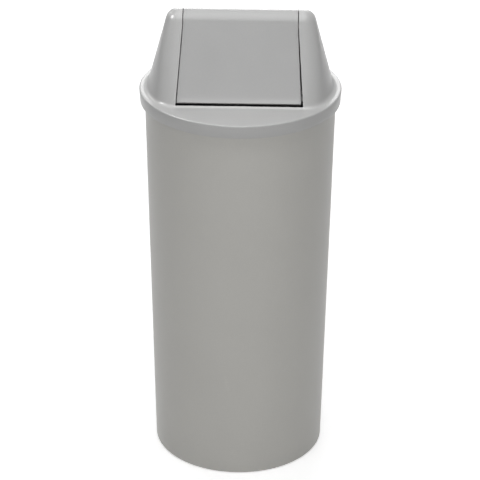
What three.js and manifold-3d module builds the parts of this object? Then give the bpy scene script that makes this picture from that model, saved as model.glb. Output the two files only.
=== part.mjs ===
// Dome top waste receptacle: a tapered round bin, a lift-off hood with a spring-shut push door,
// and a sheet-metal liner with two wire handles. Millimetres, +Z up, front towards -Y,
// origin at the centre of the foot.
import * as THREE from 'three';
import { mergeVertices } from 'three/addons/utils/BufferGeometryUtils.js';
import Module from 'manifold-3d';

const wasm = await Module();
wasm.setup();

// ---------- Driving dimensions ----------

const FIT = 0.3; // gap between pieces that touch
const EDGE_BREAK = 1; // small flat where two faces of a moulding meet

// Bin body
const BODY_HEIGHT = 771;
const BODY_TOP_RADIUS = 185;
const BODY_BASE_RADIUS = 169.3;
const BODY_WALL = 3;
const BODY_CORNER = 6.5; // rounding of the bottom edge
const FOOT_WIDTH = 8; // ring that stands on the floor
const FLOOR_RAISE = 6; // underside of the floor inside the foot ring
const FOOT_SLANT = 3.6; // run of the sloping inside of the foot ring
const FLOOR_THICKNESS = 3.5;
const LIP_OVERHANG = 4.6; // rolled lip at the top of the body
const LIP_DEPTH = 10;
const LIP_WALL = 2.5;

// Hood: skirt and deck
const HOOD_WALL = 3;
const RIM_RADIUS = 195.5;
const SKIRT_HEIGHT = 26;
const SKIRT_TAPER = 1.5;
const RIM_ROUNDING = 3;
const RIB_COUNT = 8; // centring ribs inside the skirt
const RIB_THICKNESS = 2.5;
const RIB_HEIGHT = 18;

// Hood: dome
const DOME_BASE_RADIUS = 180.5;
const DOME_HEIGHT = 156.7; // deck to ridge
const SIDE_LEAN = THREE.MathUtils.degToRad(15.1);
const FRONT_SLOPE = THREE.MathUtils.degToRad(59.5);
const RIDGE_RADIUS = 32; // roll over the ridge, round the hinge axis
const RIDGE_FLAT = 5.5; // the rear slope stands this much further back, clear of the door's roll
const STEP_BACK_FROM = THREE.MathUtils.degToRad(24); // turn past the crest where it steps back
const STEP_BACK_TO = THREE.MathUtils.degToRad(43);
const CREST_HALF = 3; // flat crest between the two halves of the ridge
const SHOULDER_RADIUS = 26; // where the sides roll into the ridge
const CORNER_BASE = 44; // upright corners between the slopes and the sides
const CORNER_TOP = 25;
const CORNER_RATE = 1.2; // the corners reach their top size at 1 / CORNER_RATE of the dome's height
const CORNER_LIMIT = 0.85; // share of the dome's depth that a corner can take
const DECK_FILLET = 11;
const INNER_FILLET = 2;

// Door opening and its flanges
const SILL_HEIGHT = 3.2; // lower edge of the opening above the deck
const OPENING_HALF_TOP = 110.4;
const OPENING_HALF_BOTTOM = 121;
const REAR_SEAM = THREE.MathUtils.degToRad(50); // rear edge of the opening, past the crest
const FLANGE_DEPTH = 16; // return flange round the opening, measured from the outer face
const FLANGE_WALL = 3;
const TAPER_START = 6; // slope distance below the hinge where the opening starts to widen
const HINGE_TAB_RADIUS = 16;

// Push door
const DOOR_WALL = 3;
const DOOR_GAP_TOP = 1.3;
const DOOR_GAP_LEFT = 1.6; // side gaps at the bottom: the door hangs a little to the left
const DOOR_GAP_RIGHT = 3.5;
const DOOR_GAP_BOTTOM = 5;
const DOOR_EDGE_ROUNDING = 1.4;
const ROLL_END = THREE.MathUtils.degToRad(120); // rear end of the door's roll, past the crest
const DOOR_FLANGE_DEPTH = 18;
const DOOR_FLANGE_START = 26; // slope distance below the hinge where the side flanges begin
const KNUCKLE_WALL = 3;
const KNUCKLE_DEPTH = 20;
const KNUCKLE_LENGTH = 112;
const KNUCKLE_LEAD = 0.2; // turn past the roll's end where the knuckle's disc takes over
const KNUCKLE_TAIL = 1.2; // turn short of the slope where the disc runs into its rib

// Door stops
const STOP_RISE = 20; // centre of the stop above the door's lower edge
const STOP_LENGTH = 22;
const STOP_WALL = 3;
const STOP_MARGIN = 2; // stop lug beyond the bumper
const BUMPER_RADIUS = 4.3;
const BUMPER_HEIGHT = 5;
const BUMPER_OFFSET = 3.2; // bumper centre outside the opening's side
const BUMPER_STEM = 2;
const BUMPER_BULB = 2.9;
const BUMPER_BULB_LENGTH = 2.4;
const BUMPER_CHAMFER = 1.2;

// Hinge
const ROD_RADIUS = 2.5;
const ROD_CLEARANCE = 0.3;
const BUSH_WALL = 1.6;
const BUSH_COLLAR = 3; // collar overhang
const BUSH_COLLAR_WALL = 1.2;
const BUSH_TAIL = 1; // sleeve that stands out past the hood's flange
const NUT_RADIUS = 6;
const NUT_LENGTH = 6;
const NUT_WALL = 1.6;
const ROD_CHAMFER = 0.6;

// Torsion springs
const WIRE_RADIUS = 0.9;
const COIL_RADIUS = 6.5;
const COIL_TURNS = 5;
const COIL_PITCH = 2.1;
const LEG_TILT = THREE.MathUtils.degToRad(27); // moving leg against the front slope
const ANCHOR_DROP = 9; // fixed leg's hole in the hinge tab, below the axis
const ANCHOR_LENGTH = 6;
const ANCHOR_CLEARANCE = 0.5;

// Liner
const LINER_CLEARANCE = 41; // bead below the lowest point of the door's swing
const LINER_TOP_GAP = 20; // liner inside the body's wall, at the top and at the foot
const LINER_BASE_GAP = 16.3;
const SHEET = 1;
const BEAD_RADIUS = 2.8;
const BEAD_END = 3.04; // turn at which the rolled bead meets the wall again
const BASE_RECESS = 5; // the base sits this high inside the wall
const BAND_RADIUS = 1.6;
const BAND_DROP = 1; // band below the bead

// Liner handles
const HANDLE_HALF_SPAN = 45; // hinge ears on each side of the handle's centre
const HANDLE_INSET = 9; // half span less the arm's place
const HANDLE_DROP = 55;
const HANDLE_WIRE = 2;
const HANDLE_BEND = 8;
const HANDLE_ELBOW = 4; // bend where an arm turns into its eye
const HANDLE_TIP = 3; // wire that shows past the eye
const HANDLE_BELOW_TOP = 30;
const EAR_WIDTH = 14;
const EAR_HEIGHT = 30;
const EAR_PLATE = 1.5;
const EAR_WALL = 1.8;
const EAR_KNUCKLE = 8; // length of the ear's eye
const EAR_CLEARANCE = 0.75; // the flat ear against the round wall
const EYE_OVERLAP = 0.4; // how far the eye runs into its plate
const RIVET_SPACING = 19;
const RIVET_RADIUS = 1.8;
const RIVET_HEAD = 3.4;
const RIVET_HEAD_HEIGHT = 1.4;
const RIVET_CROWN = 0.7; // shoulder of the rivet's head, as shares of its radius and height
const RIVET_SHOULDER = 0.75;
const RIVET_SLACK = 0.2; // the round sheet under the rivet's flat head

// Facets
const SLIVER = 0.02; // smallest detail that joins keep
const BIG_SEGMENTS = 64;
const LINER_SEGMENTS = 48;
const SMALL_SEGMENTS = 12;
const RIVET_SEGMENTS = 8;
const ROLL_SEGMENTS = 12;
const CORNER_SEGMENTS = 6;
const SIDE_SEGMENTS = 6;

// ---------- Worked out from the driving dimensions ----------

const DECK_UNDERSIDE = BODY_HEIGHT + FIT;
const DECK_TOP = DECK_UNDERSIDE + HOOD_WALL;
const RIDGE_TOP = DECK_TOP + DOME_HEIGHT;
const AXIS_HEIGHT = RIDGE_TOP - RIDGE_RADIUS;
const FLOOR_TOP = FLOOR_RAISE + FLOOR_THICKNESS;
const FOOT_OUTER = BODY_BASE_RADIUS - BODY_CORNER;
const FOOT_INNER = FOOT_OUTER - FOOT_WIDTH;
const OPENING_DROP =
  (AXIS_HEIGHT + RIDGE_RADIUS * Math.cos(FRONT_SLOPE) - DECK_TOP - SILL_HEIGHT) / Math.sin(FRONT_SLOPE);
const DOOR_DROP = OPENING_DROP - DOOR_GAP_BOTTOM;
const STOP_DROP = DOOR_DROP - STOP_RISE;
const STOP_LEVEL = RIDGE_RADIUS - FLANGE_DEPTH - FIT - BUMPER_HEIGHT - FIT; // outer face of the stop lug
const LINER_TOP_RADIUS = BODY_TOP_RADIUS - BODY_WALL - LINER_TOP_GAP;
const LINER_BASE_RADIUS = BODY_BASE_RADIUS - BODY_WALL - LINER_BASE_GAP;
const LINER_FOOT = FLOOR_TOP + FIT;
const LINER_TOP = AXIS_HEIGHT - Math.hypot(DOOR_DROP, RIDGE_RADIUS) - LINER_CLEARANCE;
const LINER_HEIGHT = LINER_TOP - LINER_FOOT;
const LINER_LEAN = Math.atan((LINER_TOP_RADIUS - LINER_BASE_RADIUS) / LINER_HEIGHT);
const HANDLE_HEIGHT = LINER_TOP - HANDLE_BELOW_TOP;
const BUSH_OUTER = ROD_RADIUS + ROD_CLEARANCE + BUSH_WALL;
const TAB_OUTER = OPENING_HALF_TOP + FLANGE_WALL;
const NUT_START = TAB_OUTER + BUSH_TAIL + FIT;
const BUSH_FACE = OPENING_HALF_TOP - FIT - BUSH_COLLAR_WALL;
const COIL_START = BUSH_FACE - FIT - WIRE_RADIUS;

// ---------- Solids ----------

/** Closed geometry to a solid that can be joined and cut. */
function solid(geometry) {
  const bare = geometry.clone();
  bare.deleteAttribute('normal');
  bare.deleteAttribute('uv');
  const merged = mergeVertices(bare, 1e-4);
  const mesh = new wasm.Mesh({
    numProp: 3,
    vertProperties: new Float32Array(merged.attributes.position.array),
    triVerts: new Uint32Array(merged.index.array),
  });
  return new wasm.Manifold(mesh);
}

/** Solid back to a geometry for a mesh, without the slivers that joins leave. */
function geometryOf(body) {
  const mesh = body.simplify(SLIVER).getMesh();
  const geometry = new THREE.BufferGeometry();
  geometry.setAttribute('position', new THREE.BufferAttribute(new Float32Array(mesh.vertProperties), 3));
  geometry.setIndex(new THREE.BufferAttribute(new Uint32Array(mesh.triVerts), 1));
  geometry.computeVertexNormals();
  return geometry;
}

/** Revolves a closed [radius, height] profile about Z; the profile runs up the outside. */
function revolve(profile, segments) {
  const points = profile.map(([radius, height]) => new THREE.Vector2(Math.max(radius, 0), height));
  const onAxis = points[0].x === 0 && points.at(-1).x === 0;
  if (!onAxis) {
    points.push(points[0].clone());
  }
  return new THREE.LatheGeometry(points, segments).rotateX(Math.PI / 2);
}

/** Revolved solid whose axis runs along X, from a [radius, x] profile. */
function revolveAlongX(profile, segments) {
  return revolve(profile, segments).rotateY(Math.PI / 2);
}

/** Points on an arc, both ends included. */
function arc(centreA, centreB, radius, from, to, steps) {
  return Array.from({ length: steps + 1 }, (_, i) => {
    const angle = from + ((to - from) * i) / steps;
    return [centreA + radius * Math.cos(angle), centreB + radius * Math.sin(angle)];
  });
}

/** Extrudes a [y, z] outline along X; place(s, y, z) gives x, with s 0 on the -X face and 1 on the +X face. */
function extrudeAlongX(outline, place) {
  const shape = new THREE.Shape(outline.map(([y, z]) => new THREE.Vector2(y, z)));
  const geometry = new THREE.ExtrudeGeometry(shape, { depth: 1, bevelEnabled: false });
  const basis = new THREE.Matrix4().makeBasis(
    new THREE.Vector3(0, 1, 0),
    new THREE.Vector3(0, 0, 1),
    new THREE.Vector3(1, 0, 0),
  );
  geometry.applyMatrix4(basis);
  const position = geometry.attributes.position;
  for (let i = 0; i < position.count; i += 1) {
    position.setX(i, place(position.getX(i), position.getY(i), position.getZ(i)));
  }
  return geometry;
}

/** Path that keeps the points it is given, mitred at each of them. */
class WirePath extends THREE.Curve {
  constructor(points) {
    super();
    this.points = points;
  }

  getPointAt(share, target = new THREE.Vector3()) {
    return target.copy(this.points[Math.round(share * (this.points.length - 1))]);
  }

  getTangentAt(share, target = new THREE.Vector3()) {
    const last = this.points.length - 1;
    const at = Math.round(share * last);
    const before = this.points[Math.max(at - 1, 0)];
    const here = this.points[at];
    const after = this.points[Math.min(at + 1, last)];
    const onward = after.clone().sub(here).normalize();
    return target.copy(here).sub(before).normalize().add(onward).normalize();
  }
}

/** Round wire through a run of points. */
function wireThrough(points, radius, sides) {
  const section = new THREE.Shape(
    arc(0, 0, radius, 0, 2 * Math.PI, sides)
      .slice(0, -1)
      .map(([x, y]) => new THREE.Vector2(x, y)),
  );
  const path = new WirePath(points);
  return new THREE.ExtrudeGeometry(section, {
    steps: points.length - 1,
    bevelEnabled: false,
    extrudePath: path,
  });
}

/** Run of points round the corners of a path, each corner rounded over its own reach. */
function roundedPath(corners, reaches, steps) {
  const points = [corners[0]];
  corners.slice(1, -1).forEach((corner, i) => {
    const into = corners[i].clone().sub(corner).setLength(reaches[i]).add(corner);
    const out = corners[i + 2].clone().sub(corner).setLength(reaches[i]).add(corner);
    points.push(...new THREE.QuadraticBezierCurve3(into, corner, out).getPoints(steps));
  });
  points.push(corners.at(-1));
  return points;
}

/** Closed skin over a stack of rings that all have the same number of points. */
function loft(rings) {
  const count = rings[0].length;
  const positions = rings.flat(2);
  const index = [];
  for (let level = 0; level < rings.length - 1; level += 1) {
    for (let i = 0; i < count; i += 1) {
      const a = level * count + i;
      const b = level * count + ((i + 1) % count);
      index.push(a, b, b + count, a, b + count, a + count);
    }
  }
  [rings[0], rings.at(-1)].forEach((ring, end) => {
    const start = end * (rings.length - 1) * count;
    const middle = positions.length / 3;
    const across = ring.reduce((sum, [, y]) => sum + y, 0) / count;
    positions.push(0, across, ring[0][2]);
    for (let i = 0; i < count; i += 1) {
      const a = start + i;
      const b = start + ((i + 1) % count);
      index.push(middle, end ? a : b, end ? b : a);
    }
  });
  const geometry = new THREE.BufferGeometry();
  geometry.setAttribute('position', new THREE.Float32BufferAttribute(positions, 3));
  geometry.setIndex(index);
  return geometry;
}

// ---------- The front slope's own frame ----------
// drop runs down the slope from the hinge, level stands out from the hinge axis square to the slope.

const DOWN = new THREE.Vector3(0, -Math.cos(FRONT_SLOPE), -Math.sin(FRONT_SLOPE));
const OUT = new THREE.Vector3(0, -Math.sin(FRONT_SLOPE), Math.cos(FRONT_SLOPE));

// The spring's moving leg leaves the coil along a tangent; the first turn starts level with the axis at the rear.
const LEG_DIRECTION = DOWN.clone().multiplyScalar(Math.cos(LEG_TILT)).addScaledVector(OUT, Math.sin(LEG_TILT));
const LEG_ANGLE = Math.atan2(-LEG_DIRECTION.y, LEG_DIRECTION.z);
const COIL_TURN_COUNT = COIL_TURNS + LEG_ANGLE / (2 * Math.PI);
const COIL_END = COIL_START - COIL_PITCH * COIL_TURN_COUNT;
const KNUCKLE_OFFSET = COIL_END - WIRE_RADIUS - FIT - KNUCKLE_WALL / 2;

/** [y, z] of a place on the front slope. */
function onSlope(drop, level) {
  return [drop * DOWN.y + level * OUT.y, AXIS_HEIGHT + drop * DOWN.z + level * OUT.z];
}

/** Share of the opening's widening that a [y, z] has reached. */
function widening(y, z) {
  const drop = y * DOWN.y + (z - AXIS_HEIGHT) * DOWN.z;
  return Math.max(0, (drop - TAPER_START) / (OPENING_DROP - TAPER_START));
}

/** [y, z] points round the hinge axis, angles measured past the crest towards the rear. */
function roundHinge(radius, from, to, steps) {
  return arc(0, AXIS_HEIGHT, radius, Math.PI / 2 - from, Math.PI / 2 - to, steps);
}

/** Half width of the opening at a [y, z]. */
function openingHalf(y, z) {
  return OPENING_HALF_TOP + (OPENING_HALF_BOTTOM - OPENING_HALF_TOP) * widening(y, z);
}

/** Half width of the door at a [y, z]; side is -1 for left and 1 for right. */
function doorHalf(side, y, z) {
  const gap = side < 0 ? DOOR_GAP_LEFT : DOOR_GAP_RIGHT;
  return openingHalf(y, z) - DOOR_GAP_TOP - (gap - DOOR_GAP_TOP) * widening(y, z);
}

/** Plate of one thickness whose inner face follows half(y, z) on one side. */
function sidePlate(outline, side, half, thickness) {
  return extrudeAlongX(outline, (s, y, z) => {
    const inner = side * half(y, z);
    const outer = inner + side * thickness;
    return s * Math.max(inner, outer) + (1 - s) * Math.min(inner, outer);
  });
}

// ---------- Hood ----------

/** Extra reach of the concave fillet where a wall of this slope meets the deck. */
function filletReach(height, radius, slope) {
  const top = radius * (1 - Math.cos(slope));
  if (height >= top) {
    return 0;
  }
  const above = Math.max(height, 0);
  const below = radius - above;
  return radius * Math.tan(slope / 2) - Math.sqrt(radius ** 2 - below ** 2) + above / Math.tan(slope);
}

/** One level section of the dome, inset square to its surface. */
function domeRing(z, inset) {
  const roll = RIDGE_RADIUS - inset;
  const above = z - AXIS_HEIGHT;
  const tangent = roll * Math.cos(FRONT_SLOPE);
  const onRoll = Math.sqrt(Math.max(roll * roll - above * above, 0));
  const onPlane = (roll - above * Math.cos(FRONT_SLOPE)) / Math.sin(FRONT_SLOPE);
  const fillet = inset > 0 ? INNER_FILLET : DECK_FILLET;
  const height = z - DECK_TOP + inset;
  const slopeReach = filletReach(height, fillet, FRONT_SLOPE);
  const sideReach = filletReach(height, fillet, Math.PI / 2 - SIDE_LEAN);
  const front = Math.max(above > tangent ? onRoll : onPlane, CREST_HALF) + slopeReach;
  const past = Math.acos(THREE.MathUtils.clamp(above / roll, -1, 1));
  const rear = front + RIDGE_FLAT * THREE.MathUtils.smoothstep(past, STEP_BACK_FROM, STEP_BACK_TO);

  const shoulder = SHOULDER_RADIUS - inset;
  const shoulderHeight = RIDGE_TOP - SHOULDER_RADIUS;
  const sideAt = (level) => DOME_BASE_RADIUS - (level - DECK_TOP) * Math.tan(SIDE_LEAN);
  const shoulderCentre = sideAt(shoulderHeight) - SHOULDER_RADIUS / Math.cos(SIDE_LEAN);
  const overShoulder = z - shoulderHeight;
  const radius =
    overShoulder > shoulder * Math.sin(SIDE_LEAN)
      ? shoulderCentre + Math.sqrt(Math.max(shoulder * shoulder - overShoulder * overShoulder, 0))
      : sideAt(z) - inset / Math.cos(SIDE_LEAN) + sideReach;

  const rise = Math.max(height, 0) / DOME_HEIGHT;
  const wanted = THREE.MathUtils.lerp(CORNER_BASE, CORNER_TOP, Math.min(rise * CORNER_RATE, 1)) - inset;
  const corner = (depth, sign) => {
    const fill = Math.min(wanted, CORNER_LIMIT * depth);
    const centreY = depth - fill;
    const centreX = Math.sqrt((radius - fill) ** 2 - centreY ** 2);
    const turn = Math.atan2(centreY, centreX);
    return { fill, centreX, centreY: sign * centreY, turn: sign * turn };
  };
  const near = corner(front, -1);
  const far = corner(rear, 1);
  const right = [
    ...arc(near.centreX, near.centreY, near.fill, -Math.PI / 2, near.turn, CORNER_SEGMENTS),
    ...arc(0, 0, radius, near.turn, far.turn, SIDE_SEGMENTS).slice(1, -1),
    ...arc(far.centreX, far.centreY, far.fill, far.turn, Math.PI / 2, CORNER_SEGMENTS),
  ];
  const left = right.map(([x, y]) => [-x, y]).reverse();
  return [...right, ...left].map(([x, y]) => [x, y, z]);
}

/** Dome as a closed solid, inset square to its surface, from a height below the deck's fillet. */
function domeSolid(inset, from) {
  const foot = DECK_TOP - inset;
  const rollTangent = (RIDGE_RADIUS - inset) * Math.cos(FRONT_SLOPE);
  const heights = [from];
  const fillet = inset > 0 ? INNER_FILLET : DECK_FILLET;
  const shares = inset > 0 ? [0, 0.3, 1] : [0, 0.09, 0.22, 0.4, 0.6, 0.85];
  shares.forEach((share) => heights.push(foot + share * fillet));
  [0.3, 0.55, 0.78].forEach((share) => {
    heights.push(THREE.MathUtils.lerp(foot + fillet, AXIS_HEIGHT + rollTangent, share));
  });
  const start = Math.PI / 2 - FRONT_SLOPE;
  for (let i = 0; i <= 6; i += 1) {
    const angle = start + ((Math.PI / 2 - start) * i) / 6;
    heights.push(AXIS_HEIGHT + (RIDGE_RADIUS - inset) * Math.sin(angle));
  }
  return solid(loft(heights.map((z) => domeRing(z, inset))));
}

/** Skirt and full deck disc, before the dome's hollow is cut out. */
function skirtSolid() {
  const bottom = DECK_TOP - SKIRT_HEIGHT;
  const inner = RIM_RADIUS - HOOD_WALL;
  const edge = arc(RIM_RADIUS - RIM_ROUNDING, DECK_TOP - RIM_ROUNDING, RIM_ROUNDING, 0, Math.PI / 2, 4);
  return solid(
    revolve(
      [
        [inner - SKIRT_TAPER, bottom],
        [RIM_RADIUS - SKIRT_TAPER, bottom],
        ...edge,
        [0, DECK_TOP],
        [0, DECK_UNDERSIDE],
        [inner - EDGE_BREAK, DECK_UNDERSIDE],
        [inner, DECK_UNDERSIDE - EDGE_BREAK],
      ],
      BIG_SEGMENTS,
    ),
  );
}

/** Cutter for the door opening: down the front slope, over the ridge, to the rear seam. */
function openingCutter() {
  const far = RIDGE_RADIUS * 2;
  const outline = [
    onSlope(OPENING_DROP, far),
    onSlope(OPENING_DROP, RIDGE_RADIUS - FLANGE_DEPTH),
    [0, AXIS_HEIGHT],
    ...roundHinge(far, REAR_SEAM, 0, 3),
    onSlope(TAPER_START, far),
  ];
  return solid(extrudeAlongX(outline, (s, y, z) => (2 * s - 1) * openingHalf(y, z)));
}

/** Return flange and hinge tab at one side of the opening. */
function sideFlange(side) {
  const past = RIDGE_RADIUS * 1.5;
  const inner = RIDGE_RADIUS - FLANGE_DEPTH;
  const outline = [
    onSlope(OPENING_DROP + FLANGE_WALL, past),
    onSlope(OPENING_DROP + FLANGE_WALL, inner),
    onSlope(TAPER_START, inner),
    onSlope(0, inner),
    ...roundHinge(HINGE_TAB_RADIUS, -FRONT_SLOPE, REAR_SEAM - 2 * Math.PI, 14).slice(1),
    ...roundHinge(past, REAR_SEAM + 0.1, 0, 3),
    onSlope(TAPER_START, past),
  ];
  return solid(sidePlate(outline, side, openingHalf, FLANGE_WALL));
}

/** Flange under the opening's sill. */
function sillFlange() {
  const inner = RIDGE_RADIUS - FLANGE_DEPTH;
  const outer = RIDGE_RADIUS - HOOD_WALL / 2;
  const outline = [
    onSlope(OPENING_DROP, outer),
    onSlope(OPENING_DROP, inner),
    onSlope(OPENING_DROP + FLANGE_WALL, inner),
    onSlope(OPENING_DROP + FLANGE_WALL, outer),
  ];
  const half = OPENING_HALF_BOTTOM + FLANGE_WALL;
  return solid(extrudeAlongX(outline, (s) => (2 * s - 1) * half));
}

/** Centring rib inside the skirt at one angle. */
function centringRib(angle) {
  const inner = BODY_TOP_RADIUS + LIP_OVERHANG + FIT;
  const outer = RIM_RADIUS - HOOD_WALL / 2;
  const rib = new THREE.BoxGeometry(outer - inner, RIB_THICKNESS, RIB_HEIGHT);
  rib.translate((outer + inner) / 2, 0, DECK_UNDERSIDE + HOOD_WALL / 2 - RIB_HEIGHT / 2);
  rib.rotateZ(angle);
  return solid(rib);
}

/** Round hole along X through both hinge tabs, short of the cheeks. */
function boreAlongX(radius, y, z) {
  const reach = TAB_OUTER + BUSH_TAIL;
  const bore = revolveAlongX([[0, -reach], [radius, -reach], [radius, reach], [0, reach]], SMALL_SEGMENTS);
  return solid(bore.translate(0, y, z));
}

function hoodShell() {
  const hollow = domeSolid(HOOD_WALL, DECK_UNDERSIDE - HOOD_WALL);
  const core = domeSolid(HOOD_WALL / 2, DECK_UNDERSIDE - HOOD_WALL);
  let hood = skirtSolid().add(domeSolid(0, DECK_TOP - HOOD_WALL / 2));
  hood = hood.subtract(hollow).subtract(openingCutter());
  [-1, 1].forEach((side) => {
    hood = hood.add(sideFlange(side).intersect(core));
  });
  hood = hood.add(sillFlange());
  for (let i = 0; i < RIB_COUNT; i += 1) {
    hood = hood.add(centringRib(((i + 0.5) * 2 * Math.PI) / RIB_COUNT));
  }
  hood = hood.subtract(boreAlongX(BUSH_OUTER + ROD_CLEARANCE, 0, AXIS_HEIGHT));
  const anchorHole = boreAlongX(WIRE_RADIUS + ANCHOR_CLEARANCE, COIL_RADIUS, AXIS_HEIGHT - ANCHOR_DROP);
  return hood.subtract(anchorHole);
}

// ---------- Push door ----------

/** Skin of the door: flat panel, roll over the ridge, lower flange. */
function doorSkin() {
  const inner = RIDGE_RADIUS - DOOR_WALL;
  const round = DOOR_EDGE_ROUNDING;
  const outline = [
    onSlope(DOOR_DROP, RIDGE_RADIUS - DOOR_FLANGE_DEPTH),
    onSlope(DOOR_DROP, RIDGE_RADIUS - round),
    onSlope(DOOR_DROP - 0.3 * round, RIDGE_RADIUS - 0.3 * round),
    onSlope(DOOR_DROP - round, RIDGE_RADIUS),
    onSlope(TAPER_START, RIDGE_RADIUS),
    ...roundHinge(RIDGE_RADIUS, -FRONT_SLOPE, ROLL_END, ROLL_SEGMENTS),
    ...roundHinge(inner, ROLL_END, -FRONT_SLOPE, ROLL_SEGMENTS),
    onSlope(TAPER_START, inner),
    onSlope(DOOR_DROP - DOOR_WALL, inner),
    onSlope(DOOR_DROP - DOOR_WALL, RIDGE_RADIUS - DOOR_FLANGE_DEPTH),
  ];
  return solid(extrudeAlongX(outline, (s, y, z) => (2 * s - 1) * doorHalf(2 * s - 1, y, z)));
}

/** Side flange of the door with its stop lug. */
function doorSide(side) {
  const inSkin = RIDGE_RADIUS - DOOR_WALL / 2;
  const inner = RIDGE_RADIUS - DOOR_FLANGE_DEPTH;
  const lugInner = STOP_LEVEL - STOP_WALL;
  const low = STOP_DROP + STOP_LENGTH / 2;
  const high = STOP_DROP - STOP_LENGTH / 2;
  const outline = [
    onSlope(DOOR_FLANGE_START, inSkin),
    onSlope(DOOR_FLANGE_START + DOOR_FLANGE_DEPTH, inner),
    onSlope(high, inner),
    onSlope(high, lugInner),
    onSlope(low, lugInner),
    onSlope(low, inner),
    onSlope(DOOR_DROP, inner),
    onSlope(DOOR_DROP, inSkin),
  ];
  const flange = solid(sidePlate(outline, side, (y, z) => doorHalf(side, y, z) - DOOR_WALL, DOOR_WALL));
  const lugOutline = [
    onSlope(high, STOP_LEVEL),
    onSlope(high, lugInner),
    onSlope(low, lugInner),
    onSlope(low, STOP_LEVEL),
  ];
  const [stopY, stopZ] = onSlope(STOP_DROP, STOP_LEVEL);
  const from = doorHalf(side, stopY, stopZ) - DOOR_WALL / 2;
  const to = stopOffset() + BUMPER_RADIUS + STOP_MARGIN;
  const lug = solid(sidePlate(lugOutline, side, () => from, to - from));
  return flange.add(lug).subtract(solid(alongSlopeNormal(stopHole(), side)));
}

/** Distance of the bumpers from the middle. */
function stopOffset() {
  const [y, z] = onSlope(STOP_DROP, 0);
  return openingHalf(y, z) + BUMPER_OFFSET;
}

/** Hole in the stop lug for the bumper's stem. */
function stopHole() {
  const radius = BUMPER_STEM + FIT;
  const bottom = STOP_LEVEL - 2 * STOP_WALL;
  const top = STOP_LEVEL + STOP_WALL;
  return revolve([[0, bottom], [radius, bottom], [radius, top], [0, top]], SMALL_SEGMENTS);
}

/** Stands a Z-up piece square to the front slope at one stop. */
function alongSlopeNormal(geometry, side) {
  const basis = new THREE.Matrix4().makeBasis(new THREE.Vector3(1, 0, 0), DOWN.clone().negate(), OUT);
  const [y, z] = onSlope(STOP_DROP, 0);
  basis.setPosition(side * stopOffset(), y, z);
  return geometry.applyMatrix4(basis);
}

/** Knuckle disc and tapering rib that carry the rod. */
function doorKnuckle(offset) {
  const rim = RIDGE_RADIUS - DOOR_WALL / 2;
  const outline = [
    onSlope(KNUCKLE_LENGTH, rim),
    ...roundHinge(rim, -FRONT_SLOPE, ROLL_END, ROLL_SEGMENTS),
    ...roundHinge(
      HINGE_TAB_RADIUS,
      ROLL_END + KNUCKLE_LEAD,
      2 * Math.PI - FRONT_SLOPE - KNUCKLE_TAIL,
      CORNER_SEGMENTS,
    ),
    onSlope(KNUCKLE_DEPTH * 2, RIDGE_RADIUS - KNUCKLE_DEPTH),
    onSlope(KNUCKLE_LENGTH, RIDGE_RADIUS - DOOR_WALL * 2),
  ];
  return solid(extrudeAlongX(outline, (s) => offset + (s - 0.5) * KNUCKLE_WALL));
}

function pushDoor() {
  let door = doorSkin();
  [-1, 1].forEach((side) => {
    door = door.add(doorSide(side));
  });
  [-KNUCKLE_OFFSET, 0, KNUCKLE_OFFSET].forEach((offset) => {
    door = door.add(doorKnuckle(offset));
  });
  return door.subtract(boreAlongX(ROD_RADIUS + ROD_CLEARANCE, 0, AXIS_HEIGHT));
}

/** Push-in rubber bumper: head, stem through the lug, retaining bulb. */
function bumper() {
  const under = STOP_LEVEL - STOP_WALL - FIT;
  const seat = STOP_LEVEL + FIT;
  return revolve(
    [
      [0, under - BUMPER_BULB_LENGTH],
      [BUMPER_BULB - EDGE_BREAK, under - BUMPER_BULB_LENGTH],
      [BUMPER_BULB, under],
      [BUMPER_STEM, under],
      [BUMPER_STEM, seat],
      [BUMPER_RADIUS, seat],
      [BUMPER_RADIUS, seat + BUMPER_HEIGHT - BUMPER_CHAMFER],
      [BUMPER_RADIUS - BUMPER_CHAMFER, seat + BUMPER_HEIGHT],
      [0, seat + BUMPER_HEIGHT],
    ],
    SMALL_SEGMENTS,
  );
}

// ---------- Hinge ----------

function hingeRod() {
  const half = NUT_START + NUT_LENGTH - NUT_WALL - FIT;
  return revolveAlongX(
    [
      [0, -half],
      [ROD_RADIUS - ROD_CHAMFER, -half],
      [ROD_RADIUS, -half + ROD_CHAMFER],
      [ROD_RADIUS, half - ROD_CHAMFER],
      [ROD_RADIUS - ROD_CHAMFER, half],
      [0, half],
    ],
    SMALL_SEGMENTS,
  );
}

/** Collared bush in the hood's hinge tab, for the +X side. */
function hingeBush() {
  const bore = ROD_RADIUS + ROD_CLEARANCE;
  const collarOut = OPENING_HALF_TOP - FIT;
  return revolveAlongX(
    [
      [bore, BUSH_FACE],
      [BUSH_OUTER + BUSH_COLLAR, BUSH_FACE],
      [BUSH_OUTER + BUSH_COLLAR, collarOut],
      [BUSH_OUTER, collarOut],
      [BUSH_OUTER, TAB_OUTER + BUSH_TAIL],
      [bore, TAB_OUTER + BUSH_TAIL],
    ],
    SMALL_SEGMENTS,
  );
}

/** Domed push-on nut over the rod's end, for the +X side. */
function pushNut() {
  const end = NUT_START + NUT_LENGTH;
  const bore = ROD_RADIUS + ROD_CLEARANCE;
  return revolveAlongX(
    [
      [0, end - NUT_WALL],
      [bore, end - NUT_WALL],
      [bore, NUT_START],
      [NUT_RADIUS, NUT_START],
      [NUT_RADIUS, NUT_START + NUT_WALL],
      [bore + NUT_WALL, NUT_START + NUT_WALL],
      [bore + NUT_WALL, end - NUT_WALL / 2],
      [bore, end],
      [0, end],
    ],
    SMALL_SEGMENTS,
  );
}

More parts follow.
